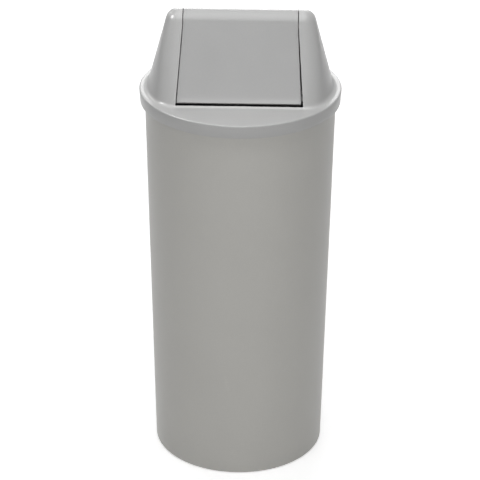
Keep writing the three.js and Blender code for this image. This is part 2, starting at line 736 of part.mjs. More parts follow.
/** Torsion spring for the +X side: leg in the hinge tab, coil on the rod, leg on the door's panel. */
function torsionSpring() {
  const bend = WIRE_RADIUS * 1.6;
  const fixedLeg = roundedPath(
    [
      new THREE.Vector3(COIL_START + ANCHOR_LENGTH, COIL_RADIUS, -ANCHOR_DROP),
      new THREE.Vector3(COIL_START, COIL_RADIUS, -ANCHOR_DROP),
      new THREE.Vector3(COIL_START, COIL_RADIUS, -WIRE_RADIUS),
    ],
    [bend],
    3,
  );
  const steps = Math.round(COIL_TURN_COUNT * 10);
  const coil = Array.from({ length: steps + 1 }, (_, i) => {
    const turned = (COIL_TURN_COUNT * i) / steps;
    const angle = 2 * Math.PI * turned;
    const x = COIL_START - COIL_PITCH * turned;
    return new THREE.Vector3(x, COIL_RADIUS * Math.cos(angle), COIL_RADIUS * Math.sin(angle));
  });
  const from = coil.at(-1);
  const toPanel = RIDGE_RADIUS - DOOR_WALL - FIT - WIRE_RADIUS - (from.y * OUT.y + from.z * OUT.z);
  const tip = from.clone().addScaledVector(LEG_DIRECTION, toPanel / Math.sin(LEG_TILT));
  return wireThrough([...fixedLeg, ...coil, tip], WIRE_RADIUS, 6);
}

// ---------- Body ----------

function bodyShell() {
  const inTop = BODY_TOP_RADIUS - BODY_WALL;
  const inBase = BODY_BASE_RADIUS - BODY_WALL;
  const lipOut = BODY_TOP_RADIUS + LIP_OVERHANG;
  const innerCorner = inBase - FOOT_OUTER;
  return revolve(
    [
      [0, FLOOR_RAISE],
      [FOOT_INNER - FOOT_SLANT, FLOOR_RAISE],
      [FOOT_INNER, 0],
      ...arc(FOOT_OUTER, BODY_CORNER, BODY_CORNER, -Math.PI / 2, 0, 4),
      [BODY_TOP_RADIUS, BODY_HEIGHT - LIP_WALL],
      [lipOut - LIP_WALL, BODY_HEIGHT - LIP_WALL],
      [lipOut - LIP_WALL, BODY_HEIGHT - LIP_DEPTH],
      [lipOut, BODY_HEIGHT - LIP_DEPTH],
      [lipOut, BODY_HEIGHT - LIP_WALL / 2],
      [lipOut - LIP_WALL / 2, BODY_HEIGHT],
      [inTop + EDGE_BREAK, BODY_HEIGHT],
      [inTop, BODY_HEIGHT - EDGE_BREAK],
      ...arc(FOOT_OUTER, BODY_CORNER + EDGE_BREAK, innerCorner, 0, -Math.PI / 2, 3),
      [FOOT_INNER, BODY_CORNER + EDGE_BREAK - innerCorner],
      [FOOT_INNER - FOOT_SLANT, FLOOR_TOP],
      [0, FLOOR_TOP],
    ],
    BIG_SEGMENTS,
  );
}

// ---------- Liner ----------

/** Outer radius of the liner's sheet at a height. */
function linerRadius(z) {
  return LINER_BASE_RADIUS + (z - LINER_FOOT) * Math.tan(LINER_LEAN);
}

/** Places a piece made on the liner's inner face, whose +X points outward, at an angle and height. */
function onLiner(geometry, angle, z, depth) {
  return geometry
    .rotateY(LINER_LEAN)
    .translate(linerRadius(z) - SHEET - depth, 0, z)
    .rotateZ(angle);
}

function linerWall() {
  const beadCentre = LINER_TOP_RADIUS + BEAD_RADIUS - SHEET;
  let wall = solid(
    revolve(
      [
        [LINER_BASE_RADIUS - SHEET, LINER_FOOT],
        [LINER_BASE_RADIUS, LINER_FOOT],
        [linerRadius(LINER_TOP - 2 * BEAD_RADIUS), LINER_TOP - 2 * BEAD_RADIUS],
        ...arc(beadCentre, LINER_TOP - BEAD_RADIUS, BEAD_RADIUS, -Math.PI / 2, BEAD_END, CORNER_SEGMENTS),
      ],
      LINER_SEGMENTS,
    ),
  );
  rivetPlaces().forEach(({ angle, z }) => {
    wall = wall.subtract(solid(onLiner(rivetHole(), angle, z, 0)));
  });
  return wall;
}

/** Recessed base with a flange that stands on the bin's floor. */
function linerBase() {
  const outer = LINER_BASE_RADIUS - SHEET - 2 * FIT;
  const top = LINER_FOOT + BASE_RECESS;
  return revolve(
    [
      [0, top - SHEET],
      [outer - 2 * SHEET, top - SHEET],
      [outer - SHEET, top - 2 * SHEET],
      [outer - SHEET, LINER_FOOT],
      [outer, LINER_FOOT],
      [outer, top - SHEET],
      [outer - SHEET, top],
      [0, top],
    ],
    LINER_SEGMENTS,
  );
}

function bagBand() {
  const z = LINER_TOP - 2 * BEAD_RADIUS - BAND_RADIUS - BAND_DROP;
  const centre = linerRadius(z) + BAND_RADIUS + FIT;
  return revolve(arc(centre, z, BAND_RADIUS, 0, 2 * Math.PI, CORNER_SEGMENTS).slice(0, -1), LINER_SEGMENTS);
}

const EAR_ANGLE = Math.asin(HANDLE_HALF_SPAN / (linerRadius(HANDLE_HEIGHT) - SHEET));
const EYE_OUTER = HANDLE_WIRE + FIT + EAR_WALL;
const PIVOT_INSET = EAR_CLEARANCE + EAR_PLATE + EYE_OUTER - EYE_OVERLAP;
const PIVOT_X = (linerRadius(HANDLE_HEIGHT) - SHEET - PIVOT_INSET) * Math.cos(EAR_ANGLE);

/** Where the rivets sit: side, front or rear ear, upper or lower. */
function rivetPlaces() {
  const places = [];
  [['left', -1], ['right', 1]].forEach(([sideName, side]) => {
    [['front', -1], ['rear', 1]].forEach(([endName, end]) => {
      [['lower', -1], ['upper', 1]].forEach(([levelName, level]) => {
        const angle = side > 0 ? end * EAR_ANGLE : Math.PI - end * EAR_ANGLE;
        places.push({
          name: `${sideName}_${endName}_${levelName}_rivet`,
          angle,
          z: HANDLE_HEIGHT + (level * RIVET_SPACING) / 2,
        });
      });
    });
  });
  return places;
}

function rivetHole() {
  const reach = 4 * EAR_PLATE;
  const radius = RIVET_RADIUS + FIT;
  return revolveAlongX([[0, -reach], [radius, -reach], [radius, reach], [0, reach]], RIVET_SEGMENTS);
}

/** Rivet through the ear and the sheet, +X outward, origin on the liner's inner face. */
function rivet() {
  const inner = -EAR_CLEARANCE - EAR_PLATE - FIT;
  const outer = SHEET + FIT + RIVET_SLACK;
  return revolveAlongX(
    [
      [0, inner - RIVET_HEAD_HEIGHT],
      [RIVET_HEAD * RIVET_CROWN, inner - RIVET_HEAD_HEIGHT * RIVET_SHOULDER],
      [RIVET_HEAD, inner],
      [RIVET_RADIUS, inner],
      [RIVET_RADIUS, outer],
      [RIVET_HEAD, outer],
      [RIVET_HEAD * RIVET_CROWN, outer + RIVET_HEAD_HEIGHT * RIVET_SHOULDER],
      [0, outer + RIVET_HEAD_HEIGHT],
    ],
    RIVET_SEGMENTS,
  );
}

/** Ear plate with its eye, as a solid in the part's own frame. */
function linerEar(side, end) {
  const angle = side > 0 ? end * EAR_ANGLE : Math.PI - end * EAR_ANGLE;
  const plate = new THREE.BoxGeometry(EAR_PLATE, EAR_WIDTH, EAR_HEIGHT);
  let ear = solid(onLiner(plate, angle, HANDLE_HEIGHT, EAR_CLEARANCE + EAR_PLATE / 2));
  const eye = revolve(
    [
      [0, -EAR_KNUCKLE / 2],
      [EYE_OUTER, -EAR_KNUCKLE / 2],
      [EYE_OUTER, EAR_KNUCKLE / 2],
      [0, EAR_KNUCKLE / 2],
    ],
    SMALL_SEGMENTS,
  ).rotateX(Math.PI / 2);
  eye.translate(side * PIVOT_X, end * HANDLE_HALF_SPAN, HANDLE_HEIGHT);
  ear = ear.add(solid(eye));
  const bore = HANDLE_WIRE + FIT;
  const cut = revolve([[0, -EAR_WIDTH], [bore, -EAR_WIDTH], [bore, EAR_WIDTH], [0, EAR_WIDTH]], SMALL_SEGMENTS)
    .rotateX(Math.PI / 2)
    .translate(side * PIVOT_X, end * HANDLE_HALF_SPAN, HANDLE_HEIGHT);
  ear = ear.subtract(solid(cut));
  [-1, 1].forEach((level) => {
    ear = ear.subtract(solid(onLiner(rivetHole(), angle, HANDLE_HEIGHT + (level * RIVET_SPACING) / 2, 0)));
  });
  return ear;
}

/** Wire handle hanging from its two eyes, pivot at the origin. */
function linerHandle() {
  const tip = HANDLE_HALF_SPAN + EAR_KNUCKLE / 2 + HANDLE_TIP;
  const arm = HANDLE_HALF_SPAN - HANDLE_INSET;
  const corners = [
    [-tip, 0],
    [-arm, 0],
    [-arm, -HANDLE_DROP],
    [arm, -HANDLE_DROP],
    [arm, 0],
    [tip, 0],
  ].map(([y, z]) => new THREE.Vector3(0, y, z));
  const reaches = [HANDLE_ELBOW, HANDLE_BEND, HANDLE_BEND, HANDLE_ELBOW];
  return wireThrough(roundedPath(corners, reaches, 4), HANDLE_WIRE, 8);
}

// ---------- Finishes and assembly ----------

const plastic = (color) => new THREE.MeshStandardMaterial({ color, roughness: 0.42, metalness: 0 });
const metal = (color) => new THREE.MeshStandardMaterial({ color, roughness: 0.35, metalness: 1 });
const rubber = () => new THREE.MeshStandardMaterial({ color: 0x2a2a2b, roughness: 0.85, metalness: 0 });

const SHELL_GREY = 0xb5b4b0;
const HOOD_GREY = 0xbbbab7;
const NYLON = 0xe4e1d8;
const GALVANISED = 0xaab0b4;
const ZINC = 0xc2c5c8;
const SPRING_STEEL = 0x8b8d90;

const receptacle = new THREE.Group();

/** Adds a named mesh to the assembly. */
function addPiece(name, geometry, material) {
  const mesh = new THREE.Mesh(geometry, material);
  mesh.name = name;
  receptacle.add(mesh);
  return mesh;
}

addPiece('body_shell', bodyShell(), plastic(SHELL_GREY));
addPiece('hood_shell', geometryOf(hoodShell()), plastic(HOOD_GREY));
addPiece('push_door', geometryOf(pushDoor()), plastic(HOOD_GREY));
addPiece('hinge_rod', hingeRod(), metal(ZINC)).position.z = AXIS_HEIGHT;

[['left', -1], ['right', 1]].forEach(([name, side]) => {
  const mirror = (geometry) => (side > 0 ? geometry : mirrored(geometry));
  addPiece(`${name}_hinge_bush`, mirror(hingeBush()), plastic(NYLON)).position.z = AXIS_HEIGHT;
  addPiece(`${name}_push_nut`, mirror(pushNut()), metal(ZINC)).position.z = AXIS_HEIGHT;
  addPiece(`${name}_torsion_spring`, mirror(torsionSpring()), metal(SPRING_STEEL)).position.z = AXIS_HEIGHT;
  addPiece(`${name}_door_bumper`, alongSlopeNormal(bumper(), side), rubber());
  const handle = addPiece(`${name}_liner_handle`, linerHandle(), metal(ZINC));
  handle.position.set(side * PIVOT_X, 0, HANDLE_HEIGHT);
  addPiece(`${name}_front_ear`, geometryOf(linerEar(side, -1)), metal(GALVANISED));
  addPiece(`${name}_rear_ear`, geometryOf(linerEar(side, 1)), metal(GALVANISED));
});

addPiece('liner_wall', geometryOf(linerWall()), metal(GALVANISED));
addPiece('liner_base', linerBase(), metal(GALVANISED));
addPiece('bag_band', bagBand(), rubber());
rivetPlaces().forEach(({ name, angle, z }) => {
  addPiece(name, onLiner(rivet(), angle, z, 0), metal(ZINC));
});

/** The same piece for the other side, mirrored across the middle. */
function mirrored(geometry) {
  const bare = geometry.clone();
  bare.deleteAttribute('normal');
  bare.deleteAttribute('uv');
  const merged = mergeVertices(bare, 1e-4);
  merged.scale(-1, 1, 1);
  const index = merged.index.array;
  for (let i = 0; i < index.length; i += 3) {
    [index[i], index[i + 1]] = [index[i + 1], index[i]];
  }
  merged.computeVertexNormals();
  return merged;
}

export default receptacle;
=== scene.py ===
"""Dome top waste receptacle, dressed in its finishes. Metres, +Z up, the push door towards -Y."""
import logging
import math
from abc import ABC, abstractmethod
from bisect import bisect_left
from collections.abc import Callable, Iterator, Sequence
from contextlib import contextmanager
from dataclasses import dataclass
from enum import Enum
from functools import partial

import bmesh
import bpy
from mathutils import Matrix, Vector


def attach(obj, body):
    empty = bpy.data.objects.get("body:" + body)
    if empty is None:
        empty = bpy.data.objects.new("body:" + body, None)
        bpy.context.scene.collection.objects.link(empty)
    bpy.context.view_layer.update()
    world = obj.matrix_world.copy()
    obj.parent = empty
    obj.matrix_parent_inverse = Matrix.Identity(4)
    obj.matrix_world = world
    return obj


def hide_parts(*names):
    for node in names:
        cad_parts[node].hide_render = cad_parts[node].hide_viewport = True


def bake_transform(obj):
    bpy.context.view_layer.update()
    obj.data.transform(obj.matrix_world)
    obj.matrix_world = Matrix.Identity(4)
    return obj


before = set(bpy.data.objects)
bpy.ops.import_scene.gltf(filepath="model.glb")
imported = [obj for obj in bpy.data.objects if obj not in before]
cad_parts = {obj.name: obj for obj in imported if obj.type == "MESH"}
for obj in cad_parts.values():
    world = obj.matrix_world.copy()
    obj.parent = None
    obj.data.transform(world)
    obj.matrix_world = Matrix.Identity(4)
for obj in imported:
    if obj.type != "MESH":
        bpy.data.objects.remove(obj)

log = logging.getLogger("receptacle")

MM = 0.001
MERGE = 4e-6  # corners nearer to each other than this are one
ON_AXIS = 1e-7  # smallest radius a turned profile may have
SHARP = 60.0  # degrees at which an edge counts as sharp

Place = tuple[float, float, float]
Pair = tuple[float, float]
Color = tuple[float, float, float]
Piece = bpy.types.Object
Edge = bmesh.types.BMEdge
Socket = bpy.types.NodeSocket
Sockets = bpy.types.bpy_prop_collection
Values = dict[str | int, object]

SIDES = (("left", -1), ("right", 1))


# ---------- The bench: operators that shape every piece ----------


def clear_selection() -> None:
    """Leaves object mode with nothing selected."""
    if bpy.context.object is not None and bpy.context.object.mode != "OBJECT":
        bpy.ops.object.mode_set(mode="OBJECT")
    bpy.ops.object.select_all(action="DESELECT")


def pick(piece: Piece) -> None:
    """Makes one piece the only selected and the active one.

    Args:
        piece: the piece.
    """
    clear_selection()
    piece.select_set(True)
    bpy.context.view_layer.objects.active = piece


@contextmanager
def editing(piece: Piece, selected: bool = True) -> Iterator[None]:
    """Holds a piece in edit mode.

    Args:
        piece: the piece to edit.
        selected: True to begin with all of it selected.
    """
    pick(piece)
    bpy.ops.object.mode_set(mode="EDIT")
    bpy.ops.mesh.select_mode(type="VERT")
    bpy.ops.mesh.select_all(action="SELECT" if selected else "DESELECT")
    yield
    bpy.ops.object.mode_set(mode="OBJECT")


def choose(piece: Piece, kind: str, test: Callable[..., bool]) -> None:
    """Selects the edges or the faces of the piece in edit mode that pass a test.

    Args:
        piece: the piece, in edit mode.
        kind: EDGE or FACE.
        test: says whether an edge or a face is wanted.
    """
    bpy.ops.mesh.select_mode(type=kind)
    mesh = bmesh.from_edit_mesh(piece.data)
    for part in mesh.edges if kind == "EDGE" else mesh.faces:
        part.select_set(test(part))
    bmesh.update_edit_mesh(piece.data)


def is_sharp(edge: Edge) -> bool:
    """True for a sharp edge between two faces."""
    return len(edge.link_faces) == 2 and edge.calc_face_angle(0.0) > math.radians(SHARP)


def extrude(move: Place) -> None:
    """Extrudes what is selected in edit mode."""
    bpy.ops.mesh.extrude_region_move(TRANSFORM_OT_translate={"value": move})


def face_outward() -> None:
    """Turns all faces of the piece in edit mode outward."""
    bpy.ops.mesh.select_all(action="SELECT")
    bpy.ops.mesh.normals_make_consistent(inside=False)


def modified(piece: Piece, kind: str, **settings: object) -> None:
    """Adds a modifier and applies it.

    Args:
        piece: the piece that gets it.
        kind: the modifier's type, such as BEVEL.
        settings: its settings by name.
    """
    pick(piece)
    modifier = piece.modifiers.new(kind.title(), kind)
    for name, value in settings.items():
        setattr(modifier, name, value)
    bpy.ops.object.modifier_apply(modifier=modifier.name)


def softened(piece: Piece, width: float, over: float = 50.0) -> None:
    """Rounds the edges of a piece that are sharper than so many degrees."""
    limits = {"limit_method": "ANGLE", "angle_limit": math.radians(over), "offset_type": "OFFSET"}
    modified(piece, "BEVEL", width=width, segments=2, **limits)


def thickened(skin: Piece, wall: float, width: float) -> None:
    """Gives a skin its wall on the inside and rounds its sharp edges to a width."""
    modified(skin, "SOLIDIFY", thickness=wall, offset=-1.0, use_even_offset=True, use_quality_normals=True)
    softened(skin, width, over=SHARP)


def between(start: float, end: float, steps: int) -> list[float]:
    """Evenly spaced values from start to end, both included."""
    return [start + (end - start) * step / steps for step in range(steps + 1)]


def read_off(at: float, places: Sequence[float], values: Sequence[float]) -> float:
    """Value at a place, between the values that belong to rising places.

    Args:
        at: the place.
        places: rising places.
        values: their values.

    Returns:
        The value at the place.
    """
    index = min(max(bisect_left(places, at), 1), len(places) - 1)
    share = (at - places[index - 1]) / (places[index] - places[index - 1])
    return values[index - 1] + (values[index] - values[index - 1]) * share


def arc(centre: Pair, radius: float, start: float, end: float, steps: int) -> list[Pair]:
    """Points on an arc, both ends included.

    Args:
        centre: its centre.
        radius: its radius.
        start: first angle in degrees.
        end: last angle in degrees.
        steps: steps between them.

    Returns:
        The points in order.
    """
    turns = [math.radians(angle) for angle in between(start, end, steps)]
    return [(centre[0] + radius * math.cos(turn), centre[1] + radius * math.sin(turn)) for turn in turns]


def rounded_run(corners: Sequence[Vector], reaches: Sequence[float], steps: int = 8) -> list[Place]:
    """Points along a path whose inner corners are rounded.

    Args:
        corners: the path's corners.
        reaches: how far each inner corner's rounding reaches along its two legs.
        steps: steps round a corner.

    Returns:
        The points in order.
    """
    points: list[Place] = [tuple(corners[0])]
    for before, corner, after, reach in zip(corners, corners[1:], corners[2:], reaches):
        into = corner + (before - corner).normalized() * reach
        out = corner + (after - corner).normalized() * reach
        for share in between(0.0, 1.0, steps):
            points.append(tuple(into.lerp(corner, share).lerp(corner.lerp(out, share), share)))
    return [*points, tuple(corners[-1])]


def sheet(rows: Sequence[Sequence[Place]], closed: bool = False) -> Piece:
    """Grid whose crossings are moved to the places given, with the ones that meet merged.

    Args:
        rows: rows of places in metres, each of the same length.
        closed: True where each row goes round to its own start.

    Returns:
        The sheet as one open surface.
    """
    wide = [[*row, row[0]] if closed else list(row) for row in rows]
    clear_selection()
    bpy.ops.mesh.primitive_grid_add(x_subdivisions=len(wide[0]) - 1, y_subdivisions=len(wide) - 1, size=1)
    piece = bpy.context.object
    for vertex, place in zip(piece.data.vertices, (place for row in wide for place in row)):
        vertex.co = place
    with editing(piece):
        bpy.ops.mesh.remove_doubles(threshold=MERGE)
        bpy.ops.mesh.dissolve_degenerate(threshold=MERGE)
    return piece


def turned(profile: Sequence[Pair], segments: int = 96) -> Piece:
    """Turns a closed profile about Z: a circle is extruded and resized from ring to ring.

    Args:
        profile: (radius, height) points in metres, up the outside and back down the inside.
        segments: steps round the circle.

    Returns:
        The closed solid.
    """
    points = [(max(radius, ON_AXIS), height) for radius, height in profile]
    if points[0][0] > ON_AXIS or points[-1][0] > ON_AXIS:
        points.append(points[0])
    clear_selection()
    bpy.ops.mesh.primitive_circle_add(vertices=segments, radius=points[0][0], location=(0, 0, 0))
    piece = bpy.context.object
    with editing(piece):
        bpy.ops.transform.translate(value=(0, 0, points[0][1]))
        for (radius, height), (next_radius, next_height) in zip(points, points[1:]):
            extrude((0, 0, next_height - height))
            if abs(next_radius - radius) > ON_AXIS / 10:
                share = next_radius / radius
                bpy.ops.transform.resize(value=(share, share, 1), center_override=(0, 0, next_height))
        bpy.ops.mesh.select_all(action="SELECT")
        bpy.ops.mesh.remove_doubles(threshold=MERGE)
        face_outward()
    return piece


def block(size: Place, rounding: float, segments: int = 2) -> Piece:
    """Cube at its size round the origin, with its edges rounded in edit mode.

    Args:
        size: lengths along X, Y and Z in metres.
        rounding: radius of the edges in metres.
        segments: steps across a rounding.

    Returns:
        The block.
    """
    clear_selection()
    bpy.ops.mesh.primitive_cube_add(size=1)
    piece = bpy.context.object
    with editing(piece):
        bpy.ops.transform.resize(value=size)
        bpy.ops.mesh.bevel(offset=rounding, segments=segments, affect="EDGES")
    return piece


def plate(outline: Sequence[Pair], x: float, thickness: float) -> Piece:
    """Flat plate square to X: a disc takes the outline's shape and is given its thickness.

    Args:
        outline: (y, z) points in metres, in order round the plate.
        x: place of its middle.
        thickness: how thick it is.

    Returns:
        The closed plate.
    """
    clear_selection()
    bpy.ops.mesh.primitive_circle_add(vertices=len(outline), radius=1, fill_type="NGON")
    piece = bpy.context.object
    for vertex, (y, z) in zip(piece.data.vertices, outline):
        vertex.co = (x - thickness / 2, y, z)
    with editing(piece):
        extrude((thickness, 0, 0))
        face_outward()
    return piece


def added(name: str, data: bpy.types.ID) -> Piece:
    """Puts a new object with this data in the scene.

    Args:
        name: the object's name.
        data: its mesh, curve, lamp or camera.

    Returns:
        The new object.
    """
    piece = bpy.data.objects.new(name, data)
    bpy.context.scene.collection.objects.link(piece)
    return piece


def wire(points: Sequence[Place], radius: float, sides: int = 12) -> Piece:
    """Round wire through a run of points, with closed ends.

    Args:
        points: the points in metres.
        radius: the wire's radius.
        sides: steps round it.

    Returns:
        The wire as a mesh.
    """
    clear_selection()
    curve = bpy.data.curves.new("wire", "CURVE")
    curve.dimensions = "3D"
    curve.bevel_depth = radius
    curve.bevel_resolution = max(sides // 4 - 1, 0)
    curve.use_fill_caps = True
    spline = curve.splines.new("POLY")
    spline.points.add(len(points) - 1)
    for point, place in zip(spline.points, points):
        point.co = (*place, 1)
    pick(added("wire", curve))
    bpy.ops.object.convert(target="MESH")
    piece = bpy.context.object
    with editing(piece):
        bpy.ops.mesh.remove_doubles(threshold=MERGE)
        face_outward()
    return piece


def placed(piece: Piece, matrix: Matrix) -> Piece:
    """Moves a piece's mesh, so that the object itself stays at the origin.

    Args:
        piece: the piece.
        matrix: the move.

    Returns:
        The same piece.
    """
    piece.data.transform(matrix)
    if matrix.determinant() < 0:
        with editing(piece):
            bpy.ops.mesh.flip_normals()
    return piece


def copies(pattern: Piece, places: Sequence[Matrix]) -> list[Piece]:
    """Copies of a pattern, each with its own mesh, at its places. The pattern is taken away.

    Args:
        pattern: the piece to copy.
        places: a move for each copy.

    Returns:
        The copies, in the order of their places.
    """
    made = []
    for place in places:
        twin = added(pattern.name, pattern.data.copy())
        made.append(placed(twin, place))
    bpy.data.objects.remove(pattern)
    return made


def joined(pieces: Sequence[Piece]) -> Piece:
    """Joins the parts of one moulding into the first of them.

    Args:
        pieces: the parts, the first of which is kept.

    Returns:
        The joined piece.
    """
    pick(pieces[0])
    for piece in pieces:
        piece.select_set(True)
    bpy.ops.object.join()
    return bpy.context.object


# ---------- Finishes ----------


class Wiring:
    """A node tree, with a short way to add each kind of node that the finishes use."""

    def __init__(self, tree: bpy.types.NodeTree) -> None:
        """Takes the tree that gets the nodes."""
        self.tree = tree

    def fill(self, made: bpy.types.Node, values: Values) -> bpy.types.Node:
        """Gives a node's inputs their values.

        Args:
            made: the node.
            values: values, or sockets to link, by the input's name or number.

        Returns:
            The same node.
        """
        for name, value in values.items():
            if isinstance(value, Socket):
                self.tree.links.new(value, made.inputs[name])
            else:
                made.inputs[name].default_value = value
        return made

    def add(self, kind: str, values: Values | None = None, **settings: object) -> bpy.types.Node:
        """Adds a node.

        Args:
            kind: the node's type without its ShaderNode prefix.
            values: values, or sockets to link, by the input's name or number.
            settings: the node's own settings.

        Returns:
            The new node.
        """
        made = self.tree.nodes.new("ShaderNode" + kind)
        for name, value in settings.items():
            setattr(made, name, value)
        return self.fill(made, values or {})

    def math(self, operation: str, *values: object) -> Socket:
        """Result of a sum, product or the like."""
        return self.add("Math", dict(enumerate(values)), operation=operation).outputs[0]

    def vector(self, operation: str, *values: object) -> Socket:
        """Result of a vector operation."""
        return self.add("VectorMath", dict(enumerate(values)), operation=operation).outputs[0]

    def noise(self, vector: Socket, scale: object, detail: float, roughness: float = 0.5) -> Socket:
        """Cloudy noise from 0 to 1."""
        values = {"Vector": vector, "Scale": scale, "Detail": detail, "Roughness": roughness}
        return self.add("TexNoise", values).outputs["Fac"]

    def remap(
        self, value: Socket, start: float = 0.0, end: float = 1.0, low: float = 0.0, high: float = 1.0
    ) -> Socket:
        """Value moved from one range to another and kept inside it."""
        return self.add("MapRange", dict(enumerate((value, start, end, low, high)))).outputs[0]

    def mix(self, mask: Socket, color: Socket, other: Color) -> Socket:
        """Colour with another one laid over it where the mask says."""
        return self.add("Mix", {0: mask, 6: color, 7: (*other, 1)}, data_type="RGBA").outputs[2]

    def shade(self, value: Socket, color: Socket) -> Socket:
        """Colour made lighter or darker."""
        return self.add("HueSaturation", {"Value": value, "Color": color}).outputs["Color"]

    def bump(self, strength: float, distance: float, height: Socket) -> Socket:
        """Normal of a surface with this height."""
        values = {"Strength": strength, "Distance": distance, "Height": height}
        return self.add("Bump", values).outputs["Normal"]

    def seen_by(self, *rays: str) -> Socket:
        """1 for the kinds of ray named and 0 for every other.

        Args:
            rays: kinds of ray, such as Camera.

        Returns:
            The socket that says so.
        """
        path = self.add("LightPath").outputs
        seen = path[f"Is {rays[0]} Ray"]
        for ray in rays[1:]:
            seen = self.math("MAXIMUM", seen, path[f"Is {ray} Ray"])
        return seen


class Effect(Enum):
    """Surface effects that several finishes share, each a node group."""

    MOULD_GRAIN = "Mould grain"
    TONE_DRIFT = "Tone drift"
    HANDLING = "Handling marks"
    SPANGLE = "Zinc spangle"
    DRAWN = "Drawn streaks"


Maker = Callable[[Wiring, Sockets], Values]


class Effects:
    """Builds the shared node groups once and hands them to the finishes."""

    def __init__(self) -> None:
        """Builds every group."""
        grey = (0.5, 0.5, 0.5, 1)
        self.trees = {
            effect: self._group(effect, maker, inputs)
            for effect, maker, inputs in (
                (Effect.MOULD_GRAIN, self._mould_grain, {"Size": 700.0, "Waves": 0.3}),
                (Effect.TONE_DRIFT, self._tone_drift, {"Color": grey, "Drift": 0.04, "Specks": 0.03}),
                (Effect.HANDLING, self._handling, {"Amount": 0.5}),
                (Effect.SPANGLE, self._spangle, {"Color": grey, "Size": 90.0, "Contrast": 0.2}),
                (Effect.DRAWN, self._drawn, {"Stretch": (20.0, 1800.0, 1800.0)}),
            )
        }

    @staticmethod
    def _group(effect: Effect, maker: Maker, inputs: Values) -> bpy.types.ShaderNodeTree:
        """Node group with named sockets.

        Args:
            effect: which effect it makes.
            maker: fills the group from its inputs and gives its outputs by name.
            inputs: default of each input besides Vector, by name.

        Returns:
            The group.
        """
        kinds = {"Vector": "NodeSocketVector", "Stretch": "NodeSocketVector", "Color": "NodeSocketColor"}
        tree = bpy.data.node_groups.new(effect.value, "ShaderNodeTree")
        for name, default in {"Vector": (0, 0, 0), **inputs}.items():
            kind = kinds.get(name, "NodeSocketFloat")
            tree.interface.new_socket(name=name, in_out="INPUT", socket_type=kind).default_value = default
        results = maker(Wiring(tree), tree.nodes.new("NodeGroupInput").outputs)
        for name in results:
            kind = kinds.get(name, "NodeSocketFloat")
            tree.interface.new_socket(name=name, in_out="OUTPUT", socket_type=kind)
        Wiring(tree).fill(tree.nodes.new("NodeGroupOutput"), results)
        return tree

    def put(self, wires: Wiring, effect: Effect, **values: object) -> Sockets:
        """Places a group in a material.

        Args:
            wires: the material's tree.
            effect: which group.
            values: values or links by input name.

        Returns:
            The group's outputs.
        """
        made = wires.add("Group", node_tree=self.trees[effect], label=effect.value)
        return wires.fill(made, values).outputs

    def tone(self, wires: Wiring, where: Socket, color: Color, drift: float, specks: float) -> Sockets:
        """A finish's colour with its drift and specks."""
        return self.put(wires, Effect.TONE_DRIFT, Vector=where, Color=(*color, 1), Drift=drift, Specks=specks)

    @staticmethod
    def _mould_grain(wires: Wiring, given: Sockets) -> Values:
        """Fine pebbling of a moulded surface over the slow waves of its cooling, as a height.

        Args:
            wires: the tree that gets the nodes.
            given: the group's inputs.

        Returns:
            The outputs by name.
        """
        vector, size = given["Vector"], given["Size"]
        pebble = wires.add("TexVoronoi", {"Vector": vector, "Scale": size}, feature="SMOOTH_F1")
        pebble.inputs["Smoothness"].default_value = 0.6
        fine = wires.math("MULTIPLY", pebble.outputs["Distance"], wires.noise(vector, size, 2.0))
        wave = wires.math("MULTIPLY", wires.noise(vector, 14.0, 1.0, 0.4), given["Waves"])
        return {"Height": wires.math("ADD", fine, wave)}

    @staticmethod
    def _tone_drift(wires: Wiring, given: Sockets) -> Values:
        """Slow drift of a colour, with faint flow marks and the specks of the compound.

        Args:
            wires: the tree that gets the nodes.
            given: the group's inputs.

        Returns:
            The outputs by name.
        """
        cloud = wires.noise(given["Vector"], 5.0, 4.0, 0.55)
        cloud.node.inputs["Distortion"].default_value = 0.6
        even = wires.remap(cloud, 0.3, 0.7, -1.0)
        spot = wires.remap(wires.noise(given["Vector"], 420.0, 1.0, 0.4), 0.35, 0.65, -1.0)
        drift = wires.math("MULTIPLY", even, given["Drift"])
        both = wires.math("ADD", drift, wires.math("MULTIPLY", spot, given["Specks"]))
        return {"Color": wires.shade(wires.math("ADD", both, 1.0), given["Color"]), "Mask": even}

    @staticmethod
    def _handling(wires: Wiring, given: Sockets) -> Values:
        """Hairline rubs, patchy and in two directions, as a mask from 0 to 1.

        Args:
            wires: the tree that gets the nodes.
            given: the group's inputs.

        Returns:
            The outputs by name.
        """
        masks = []
        for turn, stretch in ((0.5, (60, 900, 40)), (-0.9, (900, 50, 60))):
            values = {"Vector": given["Vector"], "Rotation": (turn, turn / 2, turn), "Scale": stretch}
            laid = wires.add("Mapping", values).outputs["Vector"]
            masks.append(wires.remap(wires.noise(laid, 1.0, 1.5), 0.66, 0.74))
        patches = wires.remap(wires.noise(given["Vector"], 9.0, 2.0, 0.6), 0.45, 0.62)
        patchy = wires.math("MULTIPLY", wires.math("MAXIMUM", *masks), patches)
        return {"Mask": wires.math("MULTIPLY", patchy, given["Amount"])}

    @staticmethod
    def _spangle(wires: Wiring, given: Sockets) -> Values:
        """Crystals of hot-dip zinc: each its own grey and its own gloss.

        Args:
            wires: the tree that gets the nodes.
            given: the group's inputs.

        Returns:
            The outputs by name.
        """
        vector = given["Vector"]
        bend = wires.noise(vector, 60.0, 2.0).node.outputs["Color"]
        bent = wires.vector("MULTIPLY_ADD", bend, (0.008, 0.008, 0.008), vector)
        cells = wires.add("TexVoronoi", {"Vector": bent, "Scale": given["Size"]}).outputs
        tint = wires.add("SeparateColor", {"Color": cells["Color"]}).outputs
        amount = wires.math("MULTIPLY_ADD", wires.remap(tint[0], low=-1.0), given["Contrast"], 1.0)
        return {"Color": wires.shade(amount, given["Color"]), "Gloss": tint[1], "Height": cells["Distance"]}

